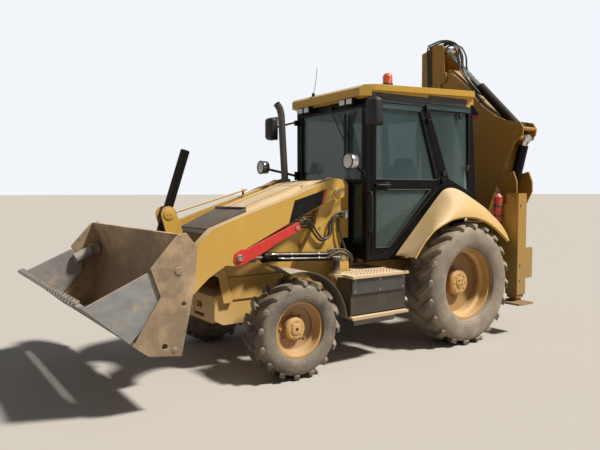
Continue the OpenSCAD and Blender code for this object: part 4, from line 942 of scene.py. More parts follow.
@dataclass
class LoaderTrim:
    """Arm panels, pin heads, the lock's pins and the hoses between arm and tower."""

    face: float = 0.5515
    film: float = 0.0022
    hose: float = 0.0115
    tower_face: float = 0.431
    pivot: tuple[float, float] = (1.45, 1.655)
    panel: tuple[tuple[float, float], ...] = ((1.983, 1.577), (1.632, 1.678), (1.675, 1.530), (2.049, 1.362))
    panel_foot: tuple[tuple[float, float], ...] = ((1.628, 1.679), (1.600, 1.687), (1.645, 1.540), (1.671, 1.531))
    heads_y: tuple[float, float] = (0.549, 0.566)
    screws_y: tuple[float, float] = (0.565, 0.574)
    bolts_y: tuple[float, float] = (0.549, 0.560)
    pivot_y: tuple[float, float] = (0.549, 0.572)
    pivot_nut_y: float = 0.571
    cap_y: tuple[float, float] = (0.0655, 0.0755)
    cap_bolts_y: tuple[float, float] = (0.075, 0.0795)
    lift_pin_y: tuple[float, float] = (0.56, 0.573)
    tower_nut_y: float = 0.5625
    lock_y: float = 0.5635
    lock_pin: tuple[float, float] = (2.585, 1.071)
    lock_stop: tuple[float, float] = (1.965, 1.318)
    cap: tuple[float, float] = (3.04, 1.457)
    cap_bolts_x: tuple[float, float] = (3.024, 3.056)
    lift_pin: tuple[float, float] = (1.40, 1.01)
    hose_y: tuple[float, float] = (0.462, 0.455)
    arm_port: tuple[tuple[float, float], tuple[float, float]] = ((1.834, 1.376), (1.872, 1.398))
    tower_port: tuple[float, float, float] = (1.36, 1.318, 1.437)
    pin_heads: tuple[tuple[float, float, float], ...] = ((1.478, 1.657, 0.036), (2.585, 1.071, 0.032),
                                                         (3.25, 0.60, 0.034))
    arm_bolts: tuple[tuple[float, float], ...] = ((1.53, 1.70), (1.52, 1.615), (3.20, 0.66), (3.18, 0.58))
    frame_bolts: tuple[tuple[float, float], ...] = ((1.80, 1.05), (1.84, 0.86), (1.60, 1.30), (1.38, 0.72),
                                                    (1.90, 0.72))
    loop: tuple[tuple[float, float], ...] = (
        (1.834, 1.376), (1.757, 1.332), (1.687, 1.24), (1.625, 1.181), (1.563, 1.178), (1.518, 1.233),
        (1.50, 1.342), (1.436, 1.427), (1.343, 1.437))
    fall: tuple[tuple[float, float], ...] = ((1.371, 1.402), (1.362, 1.271), (1.333, 1.167), (1.286, 1.071))

    def build(self) -> None:
        """Build the panels, pins and hoses."""
        self.panels()
        self.pins()
        self.tower()
        self.lock()
        self.hoses()

    def panels(self) -> None:
        """Blank black panel with a plain red foot on each arm's outer face."""
        for name, corners, finish, slot in (("arm_panels", self.panel, Finishes.decal, "black_paint"),
                                            ("arm_panel_feet", self.panel_foot, Finishes.red, "red_paint")):
            sheet = Shape().plate([at(x, self.face - 0.0012, z) for x, z in corners], (0, self.film, 0))
            sheet.finish(name, Body.LOADER, finish, slot=slot, mirror=True)

    def pins(self) -> None:
        """Pin heads and bolts of the arms, the tilt cylinder's trunnion caps and the pivot's bolts."""
        pins = Shape()
        for x, z, r in self.pin_heads:
            pins.pin(x, z, *self.heads_y, r, bevel=0.004)
            pins.bolt(x, z, *self.screws_y, r * 0.42)
        for x, z in self.arm_bolts:
            pins.bolt(x, z, *self.bolts_y, 0.013)
        x, z = self.cap
        pins.pin(x, z, *self.cap_y, 0.052, bevel=0.004)
        for x in self.cap_bolts_x:
            pins.pin(x, z, *self.cap_bolts_y, 0.008, sides=6)
        pins.finish("arm_pins", Body.LOADER, Finishes.yellow, slot="yellow_paint", mirror=True)
        pivot = Shape()
        x, z = self.pivot
        pivot.pin(x, z, *self.pivot_y, 0.026, bevel=0.003)
        pivot.nuts(at(x, self.pivot_nut_y, z), (0, 1, 0), 0.0, 1, 0.017, 0.012)
        pivot.finish("pivot_bolts", Body.LOADER, Finishes.zinc, slot="chrome_rod", mirror=True)

    def tower(self) -> None:
        """Pin heads and bolts of the tower and the frame below it."""
        tower = Shape()
        x, z = self.pivot
        tower.pin(*self.lift_pin, *self.lift_pin_y, 0.034, bevel=0.004)
        tower.nuts(at(x, self.tower_nut_y, z), (0, 1, 0), 0.0, 1, 0.02, 0.010)
        for x, z in self.frame_bolts:
            tower.bolt(x, z, self.tower_face, self.tower_face + 0.010, 0.014)
        tower.finish("tower_bolts", Body.CHASSIS, Finishes.zinc, slot="yellow_paint", mirror=True)

    def lock(self) -> None:
        """Grey heads and wire ring of the stored arm lock's pins."""
        lock = Shape()
        y = self.lock_y
        x, z = self.lock_pin
        lock.pin(x, z, y - 0.004, y + 0.016, 0.030, bevel=0.004)
        lock.ring(at(x, y + 0.018, z), (0, 1, 0), 0.022, 0.004, 24, 8)
        lock.pin(*self.lock_stop, y - 0.002, y + 0.010, 0.019, bevel=0.002)
        lock.finish("lock_pins", Body.LOADER, Finishes.zinc, slot="chrome_rod", mirror=True)

    def hoses(self) -> None:
        """Two hoses that sag from the arm to the tower, two that fall from it, and their fittings."""
        upper, ends, arm_ends = Shape(), Shape(), Shape()
        looped, falling = self.hose_y
        (x0, z0), (x1, z1) = self.arm_port
        near, far, port_z = self.tower_port
        for step in (0.0, 0.030):
            back, out, rise = step * 0.4, looped + step, step * 0.6
            upper.hose([at(x - back, out, z + rise) for x, z in self.loop], self.hose)
            arm_ends.rod(at(x0 - back, out, z0 + rise), at(x1 - back, out, z1 + rise), 0.015, sides=6, bevel=0.001)
            ends.rod(at(near, out, port_z + rise), at(far, out, port_z + rise), 0.015, sides=6, bevel=0.001)
        for step in (0.0, 0.028):
            upper.hose([at(x + step, falling + step, z) for x, z in self.fall], self.hose)
        upper.finish("tower_hoses", Body.LOADER, Finishes.hose, slot="black_paint", mirror=True,
                     bend=Bend(Body.CHASSIS, at(1.80, 0, 1.38), at(1.39, 0, 1.40)))
        ends.block(at(1.30, self.tower_face, 1.39), at(1.345, 0.52, 1.47), 0.004)
        ends.finish("tower_fittings", Body.CHASSIS, Finishes.zinc, slot="chrome_rod", mirror=True)
        arm_ends.finish("arm_fittings", Body.LOADER, Finishes.zinc, slot="chrome_rod", mirror=True)


@dataclass
class CylinderTrim:
    """Glands, hard pipes and hoses of the two lift cylinders."""

    foot: tuple[float, float, float] = (1.40, 0.495, 1.01)
    eye: tuple[float, float, float] = (2.574, 0.495, 1.070)
    reach: float = 0.91
    radius: float = 0.045
    pipe: float = 0.0085
    pipe_off: float = 0.060
    pipe_angles: tuple[float, float] = (28, -12)
    clamps: tuple[float, float] = (0.30, 0.62)
    hose: float = 0.011
    hose_lines: tuple[tuple[tuple[float, float, float], ...], ...] = (
        ((1.60, 0.552, 1.078), (1.55, 0.575, 1.088), (1.504, 0.585, 1.09), (1.43, 0.588, 1.082),
         (1.376, 0.585, 1.061), (1.301, 0.565, 1.02), (1.262, 0.54, 0.96)),
        ((1.63, 0.548, 1.000), (1.56, 0.575, 1.03), (1.49, 0.588, 1.060), (1.43, 0.590, 1.05),
         (1.36, 0.583, 1.025), (1.30, 0.565, 0.98), (1.268, 0.52, 0.92)))

    def build(self) -> None:
        """Build the pieces of both sides along the line from the foot's pin to the rod's eye."""
        foot = at(*self.foot)
        run = (at(*self.eye) - foot).normalized()
        self.glands(foot, run)
        self.pipes(foot, run)
        self.hoses()

    def glands(self, foot: Vector, run: Vector) -> None:
        """Ring nut at each barrel's mouth and a weld collar at its foot."""
        shape = Shape()
        for start, end, wider, sides, bevel in ((self.reach - 0.055, self.reach + 0.004, 0.009, 48, 0.004),
                                                (0.075, 0.10, 0.004, 48, 0.003),
                                                (self.reach - 0.018, self.reach - 0.006, 0.012, 8, 0.002)):
            shape.rod(foot + run * start, foot + run * end, self.radius + wider, sides=sides, bevel=bevel)
        shape.finish("lift_glands", Body.LIFT_BARRELS, Finishes.black, slot="black_paint", mirror=True)

    def pipes(self, foot: Vector, run: Vector) -> None:
        """Two steel pipes along each barrel, held by two clamps each."""
        pipes = Shape()
        for index, angle in enumerate(self.pipe_angles):
            off = Matrix.Rotation(math.radians(angle), 3, run) @ Vector((0, 1, 0)) * self.pipe_off
            start = foot + run * (0.12 + 0.05 * index) + off
            pipes.hose([start, start + run * 0.1, foot + run * 0.6 + off, foot + run * (0.82 - 0.1 * index) + off,
                        foot + run * (0.86 - 0.1 * index) + off * 0.7], self.pipe)
            for reach in self.clamps:
                centre = foot + run * reach + off
                pipes.rod(centre - run * 0.012, centre + run * 0.012, 0.014, sides=12, bevel=0.002)
        pipes.finish("lift_pipes", Body.LIFT_BARRELS, Finishes.zinc, slot="chrome_rod", mirror=True)

    def hoses(self) -> None:
        """Two hoses from each barrel's pipes back to the frame."""
        hoses = Shape()
        for line in self.hose_lines:
            hoses.hose(placed(line), self.hose)
        hoses.finish("lift_hoses", Body.LIFT_BARRELS, Finishes.hose, slot="black_paint", mirror=True,
                     bend=Bend(Body.CHASSIS, at(1.58, 0, 1.08), at(1.30, 0, 1.0)))


@dataclass(frozen=True)
class WorkLamp:
    """Square lamp: where two stand across the cab, and half the width and the corners in XZ of bezel and lens."""

    across: tuple[float, float]
    bezel_half: float
    bezel: tuple[tuple[float, float], tuple[float, float]]
    lens_half: float
    lens: tuple[tuple[float, float], tuple[float, float]]


@dataclass
class CabTrim:
    """Window seals, wipers, lamps, beacon, aerial, mirrors and latches."""

    front_x: float = 1.145
    front_y: float = 0.622
    turn: float = math.radians(4)
    glass_off: float = 0.0015
    glass_thick: float = 0.004
    upper_pane: tuple[tuple[float, float], ...] = ((-0.112, 1.786), (-0.112, 2.560), (-0.705, 2.560), (-0.960, 1.786))
    lower_pane: tuple[tuple[float, float], ...] = ((-0.115, 1.08), (-0.115, 1.68), (-0.87, 1.68), (-0.29, 1.08))
    quarter_pane: tuple[tuple[float, float], ...] = ((-0.835, 2.55), (-1.14, 1.80), (-1.465, 1.66), (-1.445, 2.55))
    door_header: tuple[tuple[float, float], ...] = ((-0.075, 2.515), (-0.075, 2.566), (-0.735, 2.566),
                                                    (-0.718, 2.515))
    cab_header: tuple[tuple[float, float], ...] = ((-0.070, 2.578), (-0.070, 2.607), (-1.46, 2.607), (-1.46, 2.552),
                                                   (-0.80, 2.552), (-0.775, 2.578))
    windscreen_x: float = 1.140
    windscreen: tuple[tuple[float, float], ...] = ((-0.545, 1.785), (0.545, 1.785), (0.545, 2.535), (-0.545, 2.535))
    head_lamp: tuple[float, float] = (0.8, 1.95)
    work_lamps: tuple[WorkLamp, ...] = (
        WorkLamp((0.320, 0.435), 0.051, ((1.217, 2.551), (1.229, 2.6215)), 0.042, ((1.2275, 2.560), (1.233, 2.613))),
        WorkLamp((0.400, 0.560), 0.053, ((-0.405, 2.627), (-0.393, 2.713)), 0.044, ((-0.409, 2.636), (-0.403, 2.704))))
    lamp_lens_x: tuple[float, float] = (1.543, 1.549)
    lamp_bowl_x: tuple[float, float, float] = (1.452, 1.470, 1.541)
    wiper_rows: tuple[tuple[float, int, float, float], ...] = ((1.143, 1, 2.56, 1.98), (-0.345, -1, 2.58, 2.0))
    latches: tuple[tuple[float, float], ...] = ((-1.30, 2.50), (-1.42, 1.93), (-0.80, 2.56), (-1.06, 1.86))
    handle: tuple[tuple[float, float, float], ...] = ((-0.28, 1.725, 0.02), (-0.26, 1.728, 0.045),
                                                      (-0.14, 1.728, 0.045), (-0.11, 1.725, 0.02))
    rail: tuple[tuple[float, float, float], ...] = ((-0.03, 1.25, 0.002), (-0.03, 1.28, 0.045),
                                                    (-0.03, 1.62, 0.045), (-0.03, 1.65, 0.002))
    beacon_spot: tuple[float, float] = (0.8, 0.55)
    beacon_z: tuple[float, float, float] = (2.790, 2.872, 2.898)
    beacon_ribs: int = 6
    mirror_shell: tuple[Point, Point] = ((1.262, 0.832, 2.290), (1.374, 1.004, 2.556))
    mirror_face: tuple[Point, Point] = ((1.2590, 0.878, 2.334), (1.2632, 0.958, 2.512))
    mirror_arm: tuple[Point, Point] = ((1.285, 0.865, 2.44), (1.285, 0.90, 2.44))
    aerial_foot: tuple[Point, Point] = ((1.20, -0.22, 2.728), (1.20, -0.22, 2.765))
    aerial_line: tuple[Point, ...] = ((1.20, -0.22, 2.76), (1.13, -0.29, 2.84), (1.03, -0.40, 2.98),
                                      (0.95, -0.49, 3.12))

    def side(self, u: float, z: float, out: float = 0.0) -> Vector:
        """Place on the cab's left side.

        Args:
            u: distance from the front pillar along the side, ahead positive.
            z: height.
            out: distance outwards from the side's face.

        Returns:
            The point in the frame's axes.
        """
        c, s = math.cos(self.turn), math.sin(self.turn)
        return at(self.front_x + u * c + out * s, self.front_y - u * s + out * c, z)

    def bead(self, shape: Shape, corners: Sequence[tuple[float, float]], out: float, radius: float = 0.008) -> None:
        """Lay a rubber bead round an outline on the cab's side."""
        for (u0, z0), (u1, z1) in zip(corners, [*corners[1:], corners[0]]):
            shape.rod(self.side(u0, z0, out), self.side(u1, z1, out), radius, sides=10)

    def pane(self, shape: Shape, corners: Sequence[tuple[float, float]]) -> None:
        """Lay a thin strip of dark glass on the cab's side."""
        depth = self.side(0.0, 0.0, self.glass_off + self.glass_thick) - self.side(0.0, 0.0, self.glass_off)
        shape.plate([self.side(u, z, self.glass_off) for u, z in corners], depth)

    def build(self) -> None:
        """Build everything on the cab's outside."""
        self.seals()
        self.wipers()
        self.lights()
        self.mirrors()
        self.fittings()

    def seals(self) -> None:
        """Beads round every pane, the doors' handles, and dark glass over the headers."""
        for side, body in ((Side.LEFT, Body.DOOR_LEFT), (Side.RIGHT, Body.DOOR_RIGHT)):
            shape = Shape()
            self.bead(shape, self.upper_pane, 0.0)
            self.bead(shape, self.lower_pane, 0.0)
            shape.hose([self.side(*place) for place in self.handle], 0.010)
            shape.block(self.side(-0.30, 1.70, -0.002), self.side(-0.24, 1.76, 0.006), 0.002)
            shape.flip(side)
            shape.finish(f"door_seals_{side.name.lower()}", body, Finishes.seal, slot="black_paint")
            pane = Shape()
            self.pane(pane, self.door_header)
            pane.flip(side)
            pane.finish(f"door_header_{side.name.lower()}", body, Finishes.pane, slot="cab_glass")
        pane = Shape()
        self.pane(pane, self.cab_header)
        pane.finish("cab_headers", Body.CHASSIS, Finishes.pane, slot="cab_glass", mirror=True)
        quarter = Shape()
        self.bead(quarter, self.quarter_pane, -0.004)
        quarter.finish("quarter_seals", Body.CHASSIS, Finishes.seal, slot="black_paint", mirror=True)
        front = Shape()
        for (y0, z0), (y1, z1) in zip(self.windscreen, (*self.windscreen[1:], self.windscreen[0])):
            front.rod(at(self.windscreen_x, y0, z0), at(self.windscreen_x, y1, z1), 0.010, sides=10)
        front.finish("windscreen_seal", Body.CHASSIS, Finishes.seal, slot="black_paint")

    def wipers(self) -> None:
        """A wiper on the windscreen and one on the rear window."""
        shape = Shape()
        for x, out, top, low in self.wiper_rows:
            shape.rod(at(x, 0.05, top), at(x + 0.035 * out, 0.05, top), 0.022, sides=20, bevel=0.003)
            shape.rod(at(x + 0.028 * out, 0.05, top), at(x + 0.018 * out, 0.27, low + 0.22), 0.006, sides=10)
            shape.block(at(x - 0.004, 0.262, low - 0.06), at(x + 0.014, 0.282, low + 0.50), 0.003)
        shape.finish("wipers", Body.CHASSIS, Finishes.seal, slot="black_paint")

    def lights(self) -> None:
        """Work lamps at the roof, head lamps on their brackets, and the beacon."""
        housing, glass = Shape(), Shape()
        for lamp in self.work_lamps:
            for shape, half, ((x0, z0), (x1, z1)), bevel in ((housing, lamp.bezel_half, lamp.bezel, 0.005),
                                                             (glass, lamp.lens_half, lamp.lens, 0.002)):
                for y in lamp.across:
                    shape.block(at(x0, y - half, z0), at(x1, y + half, z1), bevel)
        y, z = self.head_lamp
        inner, outer = self.lamp_lens_x
        foot, back, mouth = self.lamp_bowl_x
        housing.ring(at(1.545, y, z), (1, 0, 0), 0.073, 0.007, 48, 10)
        housing.rod(at(foot, y, z), at(1.468, y, z), 0.045, 0.074, sides=48)
        glass.rod(at(inner, y, z), at(outer, y, z), 0.071, 0.060, sides=48)
        housing.finish("lamp_bezels", Body.CHASSIS, Finishes.seal, slot="black_paint", mirror=True)
        glass.finish("lamp_lenses", Body.CHASSIS, Finishes.lens, slot="lamp_plastic", mirror=True)
        bowl = Shape()
        bowl.rod(at(back, y, z), at(mouth, y, z), 0.0765, sides=64, bevel=0.004)
        bowl.finish("head_lamp_shells", Body.CHASSIS, Finishes.chrome, slot="chrome_rod", mirror=True)
        self.beacon()

    def beacon(self) -> None:
        """Ribbed amber lens on its black foot."""
        x, y = self.beacon_spot
        low, shoulder, top = self.beacon_z
        lens = Shape()
        lens.rod(at(x, y, low), at(x, y, 2.876), 0.0505, 0.0485, sides=48, bevel=0.004)
        lens.rod(at(x, y, shoulder), at(x, y, top), 0.0485, 0.030, sides=48, bevel=0.003)
        for index in range(self.beacon_ribs):
            lens.ring(at(x, y, 2.797 + index * 0.013), (0, 0, 1), 0.0502, 0.0022, 48, 8)
        lens.finish("beacon_lens", Body.CHASSIS, Finishes.amber, slot="lamp_plastic")
        foot = Shape()
        foot.rod(at(x, y, 2.755), at(x, y, 2.792), 0.0585, 0.0565, sides=48, bevel=0.004)
        foot.finish("beacon_foot", Body.CHASSIS, Finishes.seal, slot="black_paint")

    def mirrors(self) -> None:
        """Rounded mirror shells with their glass."""
        shell = Shape()
        shell.block(*placed(self.mirror_shell), 0.044, 6)
        shell.rod(*placed(self.mirror_arm), 0.020, sides=20)
        shell.finish("mirror_shells", Body.CHASSIS, Finishes.seal, slot="black_paint", mirror=True)
        glass = Shape()
        glass.block(*placed(self.mirror_face), 0.0012)
        glass.finish("mirror_glass", Body.CHASSIS, Finishes.mirror, slot="chrome_rod", mirror=True)

    def fittings(self) -> None:
        """Aerial, latches of the quarter windows and the grab rails beside the doors."""
        aerial = Shape()
        aerial.rod(*placed(self.aerial_foot), 0.022, 0.014, sides=24, bevel=0.002)
        aerial.hose(placed(self.aerial_line), 0.0032, 8)
        aerial.finish("aerial", Body.CHASSIS, Finishes.seal, slot="black_paint")
        latch = Shape()
        for u, z in self.latches:
            latch.block(self.side(u - 0.02, z - 0.03, 0.0), self.side(u + 0.02, z + 0.03, 0.024), 0.004)
        latch.hose([self.side(*place) for place in self.rail], 0.011)
        latch.finish("cab_latches", Body.CHASSIS, Finishes.seal, slot="black_paint", mirror=True)


@dataclass
class CabInterior:
    """Driver's seat, wheel, consoles, levers and pedals, in place of the plain inner block."""

    floor: float = 1.0
    desk: tuple[Point, Point] = ((0.885, -0.295, 0.0), (1.095, 0.295, 0.40))
    dash: tuple[Point, Point] = ((0.83, -0.25, 0.36), (1.06, 0.25, 0.475))
    dash_lean: float = math.radians(-14)
    column: tuple[Point, Point] = ((0.85, 0.0, 0.006), (0.797, 0.0, 0.57))
    seat_base: tuple[Point, Point] = ((0.155, -0.21, 0.0), (0.50, 0.21, 0.30))
    mat: tuple[Point, Point] = ((0.10, -0.42, 0.0005), (0.86, 0.42, 0.012))
    side_boxes_y: tuple[float, float] = (0.385, 0.555)
    side_boxes: tuple[tuple[float, float], tuple[float, float]] = ((-0.195, 0.0), (0.245, 0.545))
    wheel_hub: tuple[float, float, float] = (0.790, 0, 1.585)
    wheel_radius: float = 0.175
    wheel_lean: float = math.radians(20)
    wheel_rim: float = 0.0145
    spokes: tuple[int, ...] = (90, 210, 330)
    pedals_y: tuple[float, ...] = (-0.14, 0.0, 0.12)
    pedal_lean: float = math.radians(25)
    levers_y: float = 0.47
    levers: tuple[tuple[float, float], ...] = ((0.17, 0.0), (0.05, 0.03), (-0.06, -0.03))
    arm_rests_y: tuple[float, float] = (-0.252, 0.235)
    pads: tuple[tuple[str, Point, Point, float, float], ...] = (
        ("seat_cushion", (0.125, -0.245, 0.30), (0.615, 0.245, 0.43), 0.018, 0.0),
        ("seat_back", (0.035, -0.225, 0.42), (0.150, 0.225, 0.98), 0.0, -10.0),
        ("seat_head_rest", (-0.03, -0.13, 0.90), (0.06, 0.13, 1.06), 0.0, -10.0))

    def build(self) -> None:
        """Build the consoles, the steering wheel and the seat."""
        self.consoles()
        self.wheel()
        self.seat()

    def above(self, point: Point) -> Vector:
        """Turn a point whose height is measured from the cab's floor into the frame's own axes."""
        x, y, z = point
        return at(x, y, self.floor + z)

    def consoles(self) -> None:
        """Dash, side consoles, levers and pedals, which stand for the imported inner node."""
        desk = Shape()
        z = self.floor
        desk.block(*map(self.above, self.desk), 0.02, 3)
        desk.block(*map(self.above, self.dash), 0.03, 3, Matrix.Rotation(self.dash_lean, 3, "Y"))
        desk.rod(*map(self.above, self.column), 0.038, 0.030, bevel=0.004)
        desk.block(*map(self.above, self.seat_base), 0.03, 3)
        desk.block(*map(self.above, self.mat), 0.004)
        for y in self.pedals_y:
            desk.block(at(0.78, y - 0.035, z + 0.05), at(0.80, y + 0.035, z + 0.16), 0.008, 2,
                       Matrix.Rotation(self.pedal_lean, 3, "Y"))
        (back, low), (front, high) = self.side_boxes
        for s in (-1, 1):
            right, left = sorted(y * s for y in self.side_boxes_y)
            desk.block(self.above((back, right, low)), self.above((front, left, high)), 0.03, 3)
            for x, dy in self.levers:
                y = self.levers_y * s + dy
                desk.rod(at(x, y, z + 0.54), at(x + 0.03, y, z + 0.72), 0.008, sides=12)
                desk.rod(at(x + 0.03, y, z + 0.70), at(x + 0.035, y, z + 0.775), 0.020, 0.026, sides=20, bevel=0.006)
        desk.finish("cab_consoles", Body.CHASSIS, Finishes.cabin, slot="inner_plastic")
        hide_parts("cab_interior")

    def wheel(self) -> None:
        """Rim, three spokes and hub on a leaning column."""
        wheel = Shape()
        axis = Vector((-math.sin(self.wheel_lean), 0, math.cos(self.wheel_lean)))
        hub = at(*self.wheel_hub)
        wheel.ring(hub, axis, self.wheel_radius, self.wheel_rim, 56, 12)
        across = Vector((0, 1, 0))
        along = axis.cross(across)
        for angle in self.spokes:
            arm = across * math.cos(math.radians(angle)) + along * math.sin(math.radians(angle))
            wheel.rod(hub - axis * 0.01, hub + arm * (self.wheel_radius - 0.003), 0.010, sides=12)
        wheel.rod(hub - axis * 0.035, hub + axis * 0.006, 0.045, sides=32, bevel=0.006)
        wheel.finish("steering_wheel", Body.CHASSIS, Finishes.seal, slot="inner_plastic")

    def seat(self) -> None:
        """Crowned cushion, leaning back rest and head rest, and the arm rests."""
        z = self.floor
        for name, low, high, crown, lean in self.pads:
            pad = Shape().cushion(self.above(low), self.above(high), crown, lean).finish(
                name, Body.CHASSIS, Finishes.cloth, 60.0, slot="inner_plastic")
        rails = Shape()
        for y in self.arm_rests_y:
            rails.block(at(0.16, y, z + 0.62), at(0.46, y + 0.05, z + 0.66), 0.014, 3)
        rails.finish("arm_rests", Body.CHASSIS, Finishes.cabin, slot="inner_plastic")


@dataclass
class StepTrim:
    """Raised dots of the tread plates, the filler caps and the boxes' bolts."""

    pitch: float = 0.042
    dot_size: tuple[float, float, float] = (0.009, 0.0055, 0.0057)
    rows: int = 8
    columns: int = 16
    corner: tuple[float, float] = (0.905, 0.63)
    front: float = 1.50
    edge: float = 0.92
    lower_start: tuple[float, float] = (1.08, 0.82)
    plate_tops: tuple[float, float] = (0.8655, 0.4755)
    filler: tuple[float, float] = (1.598, 0.70)
    cap_z: tuple[float, float] = (0.998, 1.036)
    bolts_y: tuple[float, float] = (0.9235, 0.931)
    bolts_x: tuple[float, ...] = (0.93, 1.24, 1.555)
    bolts_z: tuple[float, ...] = (0.715, 0.815)

    def build(self) -> None:
        """Build the dots, the caps and the bolts on both sides."""
        self.dots()
        x, y = self.filler
        low, high = self.cap_z
        cap = Shape()
        cap.rod(at(x, y, low), at(x, y, high), 0.043, 0.041, sides=40, bevel=0.006)
        cap.nuts(at(x, y, 1.0), (0, 0, 1), 0.041, 14, 0.005, 0.030, 8)
        cap.finish("filler_caps", Body.CHASSIS, Finishes.guard, slot="black_paint", mirror=True)
        side = Shape()
        for x in self.bolts_x:
            for z in self.bolts_z:
                side.pin(x, z, *self.bolts_y, 0.009, sides=6)
        side.finish("step_bolts", Body.CHASSIS, Finishes.zinc, slot="chrome_rod", mirror=True)

    def dots(self) -> None:
        """Dots of the upper plate, and of the lower one where it stands out below."""
        dots = Shape()
        upper, lower = self.plate_tops
        for row in range(self.rows):
            for column in range(self.columns):
                x, y = self.corner[0] + column * self.pitch, self.corner[1] + row * self.pitch
                if x > self.front or y > self.edge:
                    continue
                self.dot(dots, x, y, upper)
                if x > self.lower_start[0] and y > self.lower_start[1]:
                    self.dot(dots, x, y, lower)
        dots.finish("tread_dots", Body.CHASSIS, Finishes.steps, slot="black_paint", mirror=True)

    def dot(self, shape: Shape, x: float, y: float, z: float) -> None:
        """One raised dot."""
        wide, narrow, height = self.dot_size
        shape.rod(at(x, y, z), at(x, y, z + height), wide, narrow, sides=8)


@dataclass(frozen=True)
class Hub:
    """Sizes of what one rim carries: distances from the machine's middle, circles, counts, radii and heights."""

    name: str
    axle: tuple[float, float]
    bodies: tuple[Body, Body]
    finish: Finish
    nuts: tuple[float, float, int, float, float]
    cap: tuple[float, float, float, float]
    cap_bolts: tuple[float, float, int, float, float]
    valve: tuple[Point, Point]
    valve_radius: float
    holes: tuple[tuple[float, float, int, float, float], ...]


@dataclass
class WheelTrim:
    """Nuts, bolted caps, valves and dark holes of the rims."""

    rear: Hub = Hub("rear_hub", (0.0, REAR_AXLE_Z), (Body.WHEEL_REAR_LEFT, Body.WHEEL_REAR_RIGHT), Finishes.rim_rear,
                    nuts=(0.772, 0.165, 8, 0.017, 0.022), cap=(0.870, 0.882, 0.060, 0.004),
                    cap_bolts=(0.871, 0.088, 8, 0.010, 0.009), valve=((0.24, 0.78, 0.0), (0.25, 0.835, 0.0)),
                    valve_radius=0.006, holes=((0.8815, 0.036, 4, 0.010, 0.0012), (0.7725, 0.225, 1, 0.016, 0.006)))
    front: Hub = Hub("front_hub", (WHEELBASE, FRONT_AXLE_Z), (Body.WHEEL_FRONT_LEFT, Body.WHEEL_FRONT_RIGHT),
                     Finishes.rim_front, nuts=(0.812, 0.128, 8, 0.014, 0.020), cap=(0.885, 0.900, 0.052, 0.005),
                     cap_bolts=(0.886, 0.064, 6, 0.008, 0.008), valve=((-0.19, 0.82, -0.05), (-0.195, 0.868, -0.05)),
                     valve_radius=0.005, holes=((0.814, 0.165, 2, 0.011, 0.010), (0.8995, 0.0, 1, 0.014, 0.0012)))

    def build(self) -> None:
        """Dress all four rims."""
        for side in Side:
            for hub in (self.rear, self.front):
                self.dress(hub, side)

    def place(self, hub: Hub, side: Side, y: float, dx: float = 0.0, dz: float = 0.0) -> Vector:
        """Point on a wheel's axis or off it, on one side."""
        return at(hub.axle[0] + dx, y * side.value, hub.axle[1] + dz)

    def dress(self, hub: Hub, side: Side) -> None:
        """Nuts, bolted cap and valve of one rim, and its dark holes."""
        out = (0, side.value, 0)
        body = hub.bodies[0] if side is Side.LEFT else hub.bodies[1]
        shape = Shape()
        y, *nuts = hub.nuts
        shape.nuts(self.place(hub, side, y), out, *nuts)
        start, end, radius, bevel = hub.cap
        shape.rod(self.place(hub, side, start), self.place(hub, side, end), radius, bevel=bevel)
        y, *bolts = hub.cap_bolts
        shape.nuts(self.place(hub, side, y), out, *bolts)
        (x0, y0, z0), (x1, y1, z1) = hub.valve
        shape.rod(self.place(hub, side, y0, x0, z0), self.place(hub, side, y1, x1, z1), hub.valve_radius, sides=10)
        shape.finish(f"{hub.name}_{side.name.lower()}", body, hub.finish, slot="yellow_paint")
        holes = Shape()
        for y, *hole in hub.holes:
            holes.nuts(self.place(hub, side, y), out, *hole, 16)
        holes.finish(f"{hub.name}_holes_{side.name.lower()}", body, Finishes.seal, slot="black_paint")


@dataclass
class BucketTrim:
    """Pin bosses of the front bucket, earth in its holes and the beaded lip of its jaw."""

    bosses: tuple[tuple[float, float, float], ...] = ((3.412, 1.081, 0.030), (3.445, 0.503, 0.026))
    holes: tuple[tuple[float, float, float], ...] = ((3.372, 0.835, 0.0175), (3.522, 0.538, 0.0215))
    boss_y: tuple[float, float] = (1.132, 1.139)
    screw_y: tuple[float, float] = (1.137, 1.1415)
    plug_y: tuple[float, float] = (-1.128, -1.134)
    lip: tuple[tuple[float, float], tuple[float, float]] = ((4.078, 0.9005), (4.124, 0.8960))
    bead_rows: tuple[tuple[str, float, float, Finish], ...] = (("lip_beads", -1.053, 0.017, Finishes.zinc),
                                                               ("lip_gaps", -1.009, 0.0135, Finishes.iron))
    bead_count: int = 24
    bead_pitch: float = 0.088
    bead_slant: float = 0.042

    def build(self) -> None:
        """Build the pieces of blade and jaw."""
        shape = Shape()
        for x, z, r in self.bosses:
            shape.pin(x, z, *self.boss_y, r, sides=40, bevel=0.002)
            shape.pin(x, z, *self.screw_y, r * 0.45, sides=6)
        shape.finish("bucket_bosses", Body.BUCKET, Finishes.blade, slot="worn_steel", mirror=True)
        plugs = Shape()
        for x, z, r in self.holes:
            plugs.pin(x, z, *self.plug_y, r, sides=24)
        plugs.finish("earth_plugs", Body.BUCKET, Finishes.blade, slot="worn_steel")
        for name, first, radius, finish in self.bead_rows:
            self.beads(name, first, radius, finish)

    def beads(self, name: str, first: float, radius: float, finish: Finish) -> None:
        """Row of slanted bars along the jaw's lip."""
        beads = Shape()
        (x0, z0), (x1, z1) = self.lip
        for step in range(self.bead_count):
            y = first + step * self.bead_pitch
            beads.rod(at(x0, y - self.bead_slant, z0), at(x1, y + self.bead_slant, z1), radius, sides=16, bevel=0.003)
        beads.finish(name, Body.JAW, finish, slot="worn_steel")


